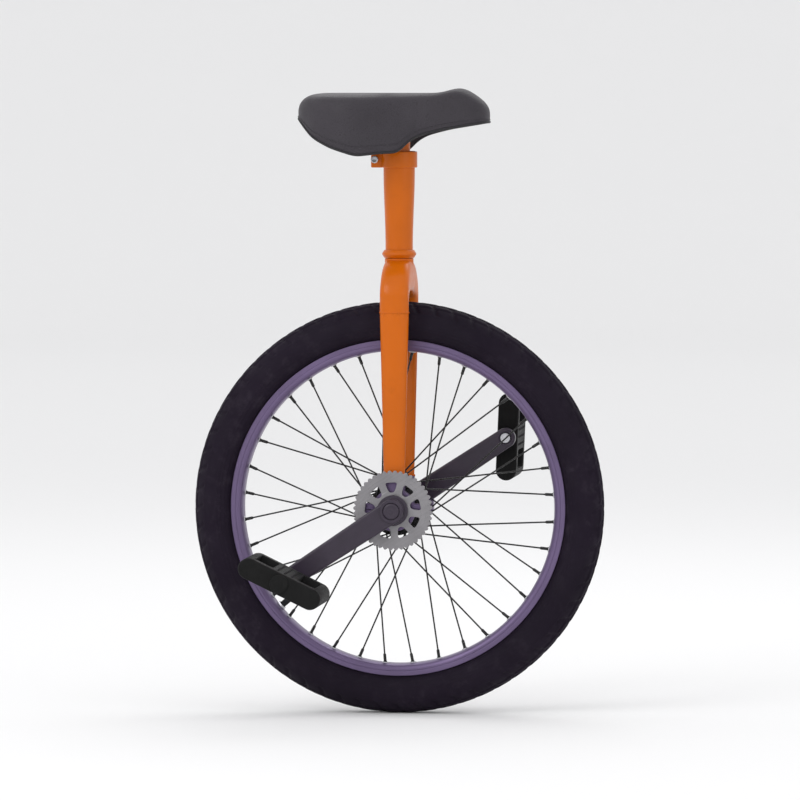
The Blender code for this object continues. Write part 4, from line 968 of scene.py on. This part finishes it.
def build_legs():
    """Smooth tapered oval legs with a weld bead at each foot."""
    for label in SIDES:
        node = f"fork_leg_{label}"
        bottom, top = low(node).z, high(node).z
        y = middle(node).y
        outside = []
        for k in range(LEG_STATIONS + 1):
            t = k / LEG_STATIONS
            half_x, half_y = (foot + (head - foot) * t for foot, head in zip(LEG_BOTTOM_HALF, LEG_TOP_HALF))
            z = bottom + (top - bottom) * t
            outside.append([(half_x * c, y + half_y * s, z) for c, s in ring(OVAL_SIDES)])
        thin_x, thin_y = (1 - LEG_WALL / half for half in LEG_BOTTOM_HALF)
        inside = []
        for row in reversed(outside):
            inside.append([(x * thin_x, y + (here - y) * thin_y, z) for x, here, z in row])
        piece(f"leg_tube_{label}", "frame", "frame_paint", [grid(outside + inside, close_rows=True)], [node])
        weld_bead(f"weld_housing_{label}", y, bottom, LEG_BOTTOM_HALF, 0.0013)


def weld_bead(name, y, z, half, size):
    """A rippled weld bead round an oval joint."""
    rows = []
    for i in range(BEAD_STEPS):
        angle = 2 * math.pi * i / BEAD_STEPS
        here = Vector((half[0] * math.cos(angle), y + half[1] * math.sin(angle), z))
        outward = Vector((here.x / half[0] ** 2, (here.y - y) / half[1] ** 2, 0.0)).normalized()
        radius = size * (1.0 + 0.16 * math.sin(angle * BEAD_RIPPLES))
        rows.append([here + outward * (radius * c - 0.25 * size) + UP * radius * s * 1.15
                     for c, s in ring(10)])
    piece(name, "frame", "frame_paint", [grid(rows, close_rows=True)], sharp=60.0)


def crown_arch():
    """Arch over the tyre: a section that swells from the leg's oval to a squarer head."""
    half_x, half_y = LEG_TOP_HALF
    foot = low("fork_crown").z
    spring = foot + 0.014
    head = high("fork_crown").z - CROWN_HEAD_HALF
    straight = [foot, foot + 0.005, foot + 0.010]
    path = [(-1, z) for z in straight]
    for k in range(37):
        angle = math.pi * k / 36
        path.append((-math.cos(angle), spring + (head - spring) * math.sin(angle)))
    path += [(1, z) for z in reversed(straight)]
    spread = middle("fork_leg_left").y
    centres = [Vector((0.0, spread * y, z)) for y, z in path]
    rows = []
    for i, centre in enumerate(centres):
        along = (centres[min(i + 1, len(centres) - 1)] - centres[max(i - 1, 0)]).normalized()
        outward = FORWARD.cross(along)
        rise = max(0.0, min(1.0, (centre.z - spring) / (head - spring)))
        half = half_y + (CROWN_HEAD_HALF - half_y) * rise ** 1.5
        power = 2.0 / (2.0 + 2.4 * rise ** 0.7)
        rows.append([centre + FORWARD * half_x * rounded(c, power) + outward * half * rounded(s, power)
                     for c, s in ring(OVAL_SIDES)])
    return capped(rows)


def rounded(value, power):
    """A sine or cosine bent by a power, which turns a circle into a squarer outline."""
    return math.copysign(abs(value) ** power, value)


def build_crown():
    """Fork crown with its neck seat, and the collar ring above it."""
    top = high("fork_crown").z
    seat = [(0.0, top - 0.024), (0.0178, top - 0.024), (0.0178, top), (0.0, top)]
    seat = lathe(seat, 0.0006, 96, ORIGIN, UP, closed=False)
    piece("crown_arch", "frame", "frame_paint", [crown_arch(), seat], ["fork_crown"], sharp=45.0)
    for label in SIDES:
        leg = f"fork_leg_{label}"
        weld_bead(f"weld_crown_{label}", middle(leg).y, high(leg).z, LEG_TOP_HALF, 0.0008)
    base, top = low("collar_ring").z, high("collar_ring").z
    reach = half_size("collar_ring").x
    edge = (top + base) / 2
    collar = [(0.0175, top), (0.0184, top), (reach, edge + 0.0008), (reach, edge - 0.0008), (0.0184, base),
              (0.0175, base)]
    piece("collar_band", "frame", "frame_paint", [lathe(collar, 0.0007, 96, ORIGIN, UP)], ["collar_ring"])


def build_neck():
    """Flared neck tube with its slot."""
    bottom, top = low("neck_tube").z, high("neck_tube").z
    profile = []
    for k in range(41):
        z = top - (top - bottom) * k / 40
        profile.append((0.0170 + 0.0025 * smoothstep((z - 0.580) / 0.095), z))
    profile += [(0.0140, bottom), (0.0140, top)]
    outline = rounded_rectangle(0.0011, 0.020, 0.0010, 4)
    slot = plate([outline], 0.020, 0.0001, (-0.018, 0.0, top - 0.010), LEFT, UP, 1)
    mesh = cut([turned(profile, 96, ORIGIN, UP)], [slot])
    piece("neck_flare", "frame", "frame_paint", mesh, ["neck_tube"])


def clamp_outline():
    """Open ring with two ears at the back, seen from above."""
    bore, reach, slot_half, ear_half, corner = 0.0199, 0.0225, 0.0015, 0.0085, 0.003
    ear_reach = -low("seat_clamp").x
    slot = math.degrees(math.asin(slot_half / bore))
    ear = math.degrees(math.asin(ear_half / reach))
    return (arc((0.0, 0.0), bore, 180 - slot, -180 + slot, 72) + [(-ear_reach, -slot_half)]
            + arc((-ear_reach + corner, -ear_half + corner), corner, 180, 270, 5)
            + arc((0.0, 0.0), reach, -180 + ear, 180 - ear, 72)
            + arc((-ear_reach + corner, ear_half - corner), corner, 90, 180, 5) + [(-ear_reach, slot_half)])


SOCKET_DEPTH = 0.0022


def socket_bolt(name, body, slot, centre, outward, head, shank, replaces):
    """A bolt with a socket; head is its radius, underside and top, shank its radius and tip."""
    radius, under, top = head
    thin, tip = shank
    floor = top - SOCKET_DEPTH
    profile = [(0.0, floor), (radius * 0.5, floor), (radius * 0.5, top), (radius, top), (radius, under),
               (thin, under)]
    profile += thread(thin, 0.00025, under - 0.0003, tip + 0.0008, 0.0008)
    profile += [(thin - 0.0003, tip), (0.0, tip)]
    piece(name, body, slot, [lathe(profile, 0.0003, 32, centre, outward, 2, closed=False)], [replaces])


def build_clamp():
    """Seat clamp with socket bolt and nut."""
    centre = (0.0, 0.0, middle("seat_clamp").z)
    height = high("seat_clamp").z - low("seat_clamp").z
    band = plate([clamp_outline()], height, 0.0012, centre, FORWARD, LEFT, 3)
    piece("clamp_band", "frame", "frame_paint", [band], ["seat_clamp"])
    bolt = middle("clamp_bolt")
    socket_bolt("clamp_screw", "frame", "bright_steel", Vector((bolt.x, 0.0, bolt.z)), -LEFT,
                (0.0045, 0.0088, 0.0128), (0.0025, -0.0145), "clamp_bolt")
    place = (bolt.x, 0.0108, bolt.z)
    nut = plate([circle(0.0050, 6), circle(0.0026, 24)], 0.0040, 0.0005, place, FORWARD, -UP)
    piece("clamp_hex_nut", "frame", "bright_steel", [nut], ["clamp_nut"])


def housing_outline(upper):
    """Half a bearing housing, as in the CAD, with rounder lugs."""
    split = 0.00015
    lug, radius, bore, reach, corner = 0.008, 0.0265, 0.0206, 0.0375, 0.0025
    lug_angle = math.degrees(math.asin(lug / radius))
    outline = [(x, max(y, split)) for x, y in arc((0.0, 0.0), bore, 0.6, 179.4, 48)]
    outline += [(-reach, split)] + arc((-reach + corner, lug - corner), corner, 180, 90, 4)
    if upper:
        stub = LEG_BOTTOM_HALF[0]
        stub_angle = math.degrees(math.acos(stub / radius))
        outline += arc((0.0, 0.0), radius, 180 - lug_angle, 180 - stub_angle, 8)
        outline += [(-stub, 0.0362), (stub, 0.0362)]
        outline += arc((0.0, 0.0), radius, stub_angle, lug_angle, 8)
    else:
        outline += arc((0.0, 0.0), radius, 180 - lug_angle, lug_angle, 36)
    outline += arc((reach - corner, lug - corner), corner, 90, 0, 4) + [(reach, split)]
    return [(x, y if upper else -y) for x, y in outline]


def build_housings():
    """Split bearing housings and their bolts."""
    for label in SIDES:
        for half in ("upper", "lower"):
            node = f"bearing_housing_{half}_{label}"
            width = high(node).y - low(node).y
            centre = (AXLE.x, middle(node).y, AXLE.z)
            shape = plate([housing_outline(half == "upper")], width, 0.0010, centre, FORWARD, UP, 3)
            piece(f"housing_{half}_{label}", "frame", "rim_metal", [shape], [node])
        for end in ("rear", "front"):
            node = f"housing_bolt_{end}_{label}"
            centre = middle(node)
            centre.z = AXLE.z
            socket_bolt(f"housing_screw_{end}_{label}", "frame", "black_steel", centre, -UP,
                        (0.0040, 0.0083, 0.0123), (0.0020, -0.0100), node)


# ---------------------------------------------------------------- saddle

STATIONS = 176
SADDLE_CENTRE = middle("saddle_cover").x
SADDLE_HALF = half_size("saddle_cover").x
SPINE = 0.62
ROUNDNESS = 2.5
RIDGE = 0.7705
SKIRT_EDGE = [
    (-0.125, 0.742), (-0.103, 0.7165), (-0.079, 0.704), (-0.046, 0.6937), (-0.016, 0.6972),
    (0.006, 0.6977), (0.016, 0.711), (0.031, 0.7190), (0.059, 0.7262), (0.113, 0.735),
]
BASE_LINE = [
    (-0.125, 0.746), (-0.095, 0.730), (-0.062, 0.7208), (0.028, 0.7208), (0.060, 0.733), (0.113, 0.741),
]
# How far each ring of the cover is drawn in, and how far down it lies
COVER_SECTION = [(0.985, 1.0), (0.996, 0.93), (1.0, 0.78), (1.003, 0.60), (1.0, 0.45), (0.988, 0.31),
                 (0.965, 0.20), (0.925, 0.125), (0.86, 0.07), (0.75, 0.034), (0.62, 0.015), (0.46, 0.005),
                 (0.30, 0.0), (0.12, 0.0)]
RINGS_PER_SPAN = 3
COVER_WALL = 0.0020
PIPING_RADIUS = 0.0016
STITCH_PITCH = 0.0042
STITCH_LENGTH = 0.0030
STITCH_RADIUS = 0.00042
BASE_RINGS = (0.97, 0.80, 0.62, 0.45, 0.30, 0.15)
BASE_THICKNESS = 0.0028


def smooth_line(line, softness):
    """A function of x through a line of (x, z) points, with its corners softened."""
    xs, zs = np.array(line).T
    offsets = np.linspace(-2.0, 2.0, 21)
    weights = np.exp(-offsets ** 2)
    weights /= weights.sum()

    def height(x):
        return float((np.interp(x + offsets * softness, xs, zs) * weights).sum())

    return height


skirt_edge = smooth_line(SKIRT_EDGE, 0.0075)
base_line = smooth_line(BASE_LINE, 0.001)


def saddle_half_width(x):
    """Half width of the plan: broad at the tail, narrow at the waist and nose."""
    return 0.049 + 0.027 * smoothstep((0.035 - x) / 0.105)


def saddle_top(x):
    """Height of the ridge: level, with a rise behind the nose and rounded ends."""
    u = min(abs(x - SADDLE_CENTRE) / SADDLE_HALF, 1.0)
    drop = 0.016 * u ** 8 if x > SADDLE_CENTRE else 0.014 * u ** 14
    return RIDGE + 0.0065 * math.exp(-((x - 0.077) / 0.018) ** 2) - drop


def plan_point(angle, spread, inset=0.0):
    """A point of the saddle's plan, drawn in towards the spine by spread."""
    reach = rounded(math.cos(angle), 2.0 / ROUNDNESS)
    edge_x = SADDLE_CENTRE + (SADDLE_HALF - inset) * reach
    edge_y = (saddle_half_width(edge_x) - inset) * rounded(math.sin(angle), 2.0 / ROUNDNESS)
    spine_x = SADDLE_CENTRE + SPINE * SADDLE_HALF * reach
    return spine_x + (edge_x - spine_x) * spread, edge_y * spread


def plan_outward(angle):
    """Unit vector away from the saddle, in plan."""
    return (Vector(plan_point(angle, 1.02)).to_3d() - Vector(plan_point(angle, 0.98)).to_3d()).normalized()


def even_angles(count):
    """Plan angles that space the stations evenly along the outline."""
    fine = np.linspace(0.0, 2 * math.pi, 4001)
    points = np.array([plan_point(a, 1.0) for a in fine])
    steps = np.hypot(*np.diff(points, axis=0).T)
    lengths = np.concatenate([[0.0], np.cumsum(steps)])
    upper = np.interp(np.linspace(0.0, lengths[-1] / 2, count // 2 + 1), lengths, fine)
    return list(upper) + [2 * math.pi - a for a in reversed(upper[1:-1])]


ANGLES = even_angles(STATIONS)


def fold(x, y, drop):
    """Shallow pull folds where the vinyl is drawn in round the waist, and ripples at the tail."""
    waist = math.exp(-((x - 0.020) / 0.030) ** 2)
    pull = math.sin(x * 330.0 + math.copysign(1.3, y) + 5.0 * drop) * waist
    tail = math.exp(-((x + 0.100) / 0.022) ** 2) * math.sin(x * 210.0 + y * 55.0)
    return smoothstep((drop - 0.12) / 0.3) * fall(drop, 0.78, 0.12) * (0.00075 * pull + 0.0005 * tail)


def cover_point(angle, spread, drop):
    """A point on the cover's outside."""
    x, y = plan_point(angle, spread)
    z = saddle_top(x) * (1.0 - drop) + skirt_edge(x) * drop
    x, y = plan_point(angle, spread + fold(x, y, drop) / saddle_half_width(x))
    return Vector((x, y, z))


def fine_section():
    """The cover's section with more rings between its control rings."""
    controls = np.array(COVER_SECTION)
    last = len(controls) - 1
    spots = np.linspace(0, last, last * RINGS_PER_SPAN + 1)
    return list(zip(*(np.interp(spots, range(last + 1), column) for column in controls.T)))


def across_faces(first, size):
    """Faces that close a ring across its middle."""
    faces = []
    for i in range(size // 2):
        corners = (first + i, first + i + 1, first + size - i - 1, first + (size - i) % size)
        faces.append(tuple(dict.fromkeys(corners)))
    return faces


def build_cover():
    """Vinyl cover as a thick shell, smoothed a little."""
    rows = [[cover_point(angle, spread, drop) for angle in ANGLES] for spread, drop in fine_section()]
    vertices, faces = grid(rows)
    faces += across_faces((len(rows) - 1) * STATIONS, STATIONS)
    mesh = mesh_of("cover_skin", [(vertices, faces)])
    finish_mesh(mesh, 80.0)
    obj = link("cover_work", mesh)
    smooth = obj.modifiers.new("smooth", "SMOOTH")
    smooth.factor = 0.5
    smooth.iterations = 4
    wall = obj.modifiers.new("wall", "SOLIDIFY")
    wall.thickness = COVER_WALL
    wall.offset = -1.0
    cover = piece("cover_skin", "saddle", "saddle_vinyl", baked(obj), ["saddle_cover"], sharp=60.0)


def build_piping():
    """Round piping along the cover's lower edge."""
    rows = []
    for angle in ANGLES:
        here = cover_point(angle, 0.985, 1.0)
        outward = plan_outward(angle)
        rows.append([here + (outward * c + UP * s) * PIPING_RADIUS for c, s in ring(12)])
    piece("saddle_piping", "saddle", "base_plastic", [grid(rows, close_rows=True)], sharp=60.0)


def build_stitches():
    """A row of short stitches along the skirt."""
    line = np.array([cover_point(angle, 0.9985, 0.87) for angle in ANGLES + ANGLES[:1]])
    lengths = np.concatenate([[0.0], np.cumsum(np.linalg.norm(np.diff(line, axis=0), axis=1))])
    count = round(lengths[-1] / STITCH_PITCH)
    stitches = []
    for k in range(count):
        path = []
        radii = []
        for j in range(7):
            t = j / 6
            at = lengths[-1] * k / count + STITCH_LENGTH * t
            point = Vector([float(np.interp(at, lengths, column)) for column in line.T])
            station = min(int(np.interp(at, lengths, range(len(lengths)))), STATIONS - 1)
            swell = math.sin(math.pi * t)
            path.append(point + plan_outward(ANGLES[station]) * (0.0004 * swell + 0.00005))
            radii.append(STITCH_RADIUS * (0.55 + 0.45 * swell))
        stitches.append(swept(path, radii, 6))
    piece("saddle_stitching", "saddle", "saddle_vinyl", stitches, material="thread")


def build_base():
    """Base pan under the foam, with the head plate and its bolts."""
    rows = []
    for spread in BASE_RINGS:
        plan = [plan_point(angle, spread, 0.005) for angle in ANGLES]
        rows.append([Vector((x, y, base_line(x) + 0.0003)) for x, y in plan])
    upper = [[point + UP * BASE_THICKNESS for point in row] for row in rows]
    vertices, faces = grid(list(reversed(rows)) + upper)
    faces += across_faces((len(rows) * 2 - 1) * STATIONS, STATIONS) + across_faces(0, STATIONS)
    piece("base_pan", "saddle", "base_plastic", [(vertices, faces)], ["saddle_base"], sharp=40.0)
    node = "post_head_plate"
    half = half_size(node)
    outline = rounded_rectangle(half.x, half.y, 0.008, 8)
    shape = plate([outline], half.z * 2, 0.0008, middle(node), FORWARD, LEFT)
    piece("head_plate", "saddle", "black_steel", [shape], [node])
    head = 0.0043
    for end in ("rear", "front"):
        for label in SIDES:
            node = f"saddle_bolt_{end}_{label}"
            place = middle(node)
            place.z = low(node).z + head
            socket_bolt(f"saddle_screw_{end}_{label}", "saddle", "bright_steel", place, -UP,
                        (0.0050, 0.0, head), (0.0028, place.z - high(node).z), node)


def build_post():
    """Seat post tube with softened ends."""
    bottom, top = low("seat_post").z, high("seat_post").z
    radius = half_size("seat_post").x
    profile = [(radius, top), (radius, bottom), (0.0113, bottom), (0.0113, top)]
    piece("post_tube", "seat_post", "frame_paint", [lathe(profile, 0.0006, 72, ORIGIN, UP)], ["seat_post"])


# ---------------------------------------------------------------- camera, floor and lights

VIEW_WIDTH = 0.994
LENS = 300.0
SENSOR = 36.0
AZIMUTH = math.radians(7.0)
ELEVATION = math.radians(3.0)
TARGET = Vector((0.0010, 0.0, AXLE.z + 0.1333))
LIGHT_TARGET = Vector((0.0, 0.0, 0.4))
FLOOR_RADIUS = 10.5
FLOOR_BEND = 2.0
WALL_HEIGHT = 3.0


def build_camera():
    """Long lens from the rider's right, a little ahead of square."""
    data = bpy.data.cameras.new("camera")
    data.lens = LENS
    data.sensor_width = SENSOR
    data.clip_end = 50.0
    camera = link("camera", data)
    level = math.cos(ELEVATION)
    back = Vector((math.sin(AZIMUTH) * level, -math.cos(AZIMUTH) * level, math.sin(ELEVATION)))
    camera.location = TARGET + back * VIEW_WIDTH * LENS / SENSOR
    camera.rotation_euler = back.to_track_quat("Z", "Y").to_euler()
    bpy.context.scene.camera = camera


def build_floor():
    """A wide pale floor that curves up to a low wall all round."""
    curve = [(FLOOR_RADIUS + x, FLOOR_BEND + z) for x, z in arc((0.0, 0.0), FLOOR_BEND, -90.0, 0.0, 12)]
    outline = [(0.0, 0.0), (1.0, 0.0), (4.0, 0.0)] + curve + [(FLOOR_RADIUS + FLOOR_BEND, WALL_HEIGHT)]
    mesh = mesh_of("studio_floor", [turned(outline, 128, ORIGIN, UP, closed=False)])
    finish_mesh(mesh, 60.0)
    paint = Surface("studio_floor", Roughness=0.9, Specular_IOR_Level=0.1, Base_Color=rgb("floor"))
    mesh.materials.append(paint.material)
    link("studio_floor", mesh)


def area_light(name, place, size, power):
    """A soft area light that looks at the wheel."""
    data = bpy.data.lights.new(name, "AREA")
    data.shape = "RECTANGLE"
    data.size, data.size_y = size
    data.energy = power
    light = link(name, data)
    light.location = place
    light.rotation_euler = (LIGHT_TARGET - Vector(place)).to_track_quat("-Z", "Y").to_euler()


def build_lights():
    """Broad key from the upper left, weak fill, rim light and a pale world."""
    area_light("key", (-1.9, -2.6, 2.4), (1.8, 1.8), 30.0)
    area_light("fill", (2.6, -2.2, 1.2), (2.2, 1.6), 6.0)
    area_light("back", (0.4, 2.0, 2.6), (2.6, 1.0), 14.0)
    world = bpy.data.worlds.new("studio")
    world.use_nodes = True
    background = world.node_tree.nodes["Background"]
    background.inputs["Color"].default_value = (0.97, 0.97, 0.98, 1.0)
    background.inputs["Strength"].default_value = 1.0
    bpy.context.scene.world = world
    bpy.context.scene.view_settings.view_transform = "Standard"


# ---------------------------------------------------------------- build

build_camera()
build_floor()
build_lights()
dress_cad_nodes()
build_tyre()
build_rim()
build_valve()
build_spokes()
build_hub()
build_bearings()
build_cranks()
build_disc()
build_pedals()
build_legs()
build_crown()
build_neck()
build_clamp()
build_housings()
build_cover()
build_piping()
build_stitches()
build_base()
build_post()
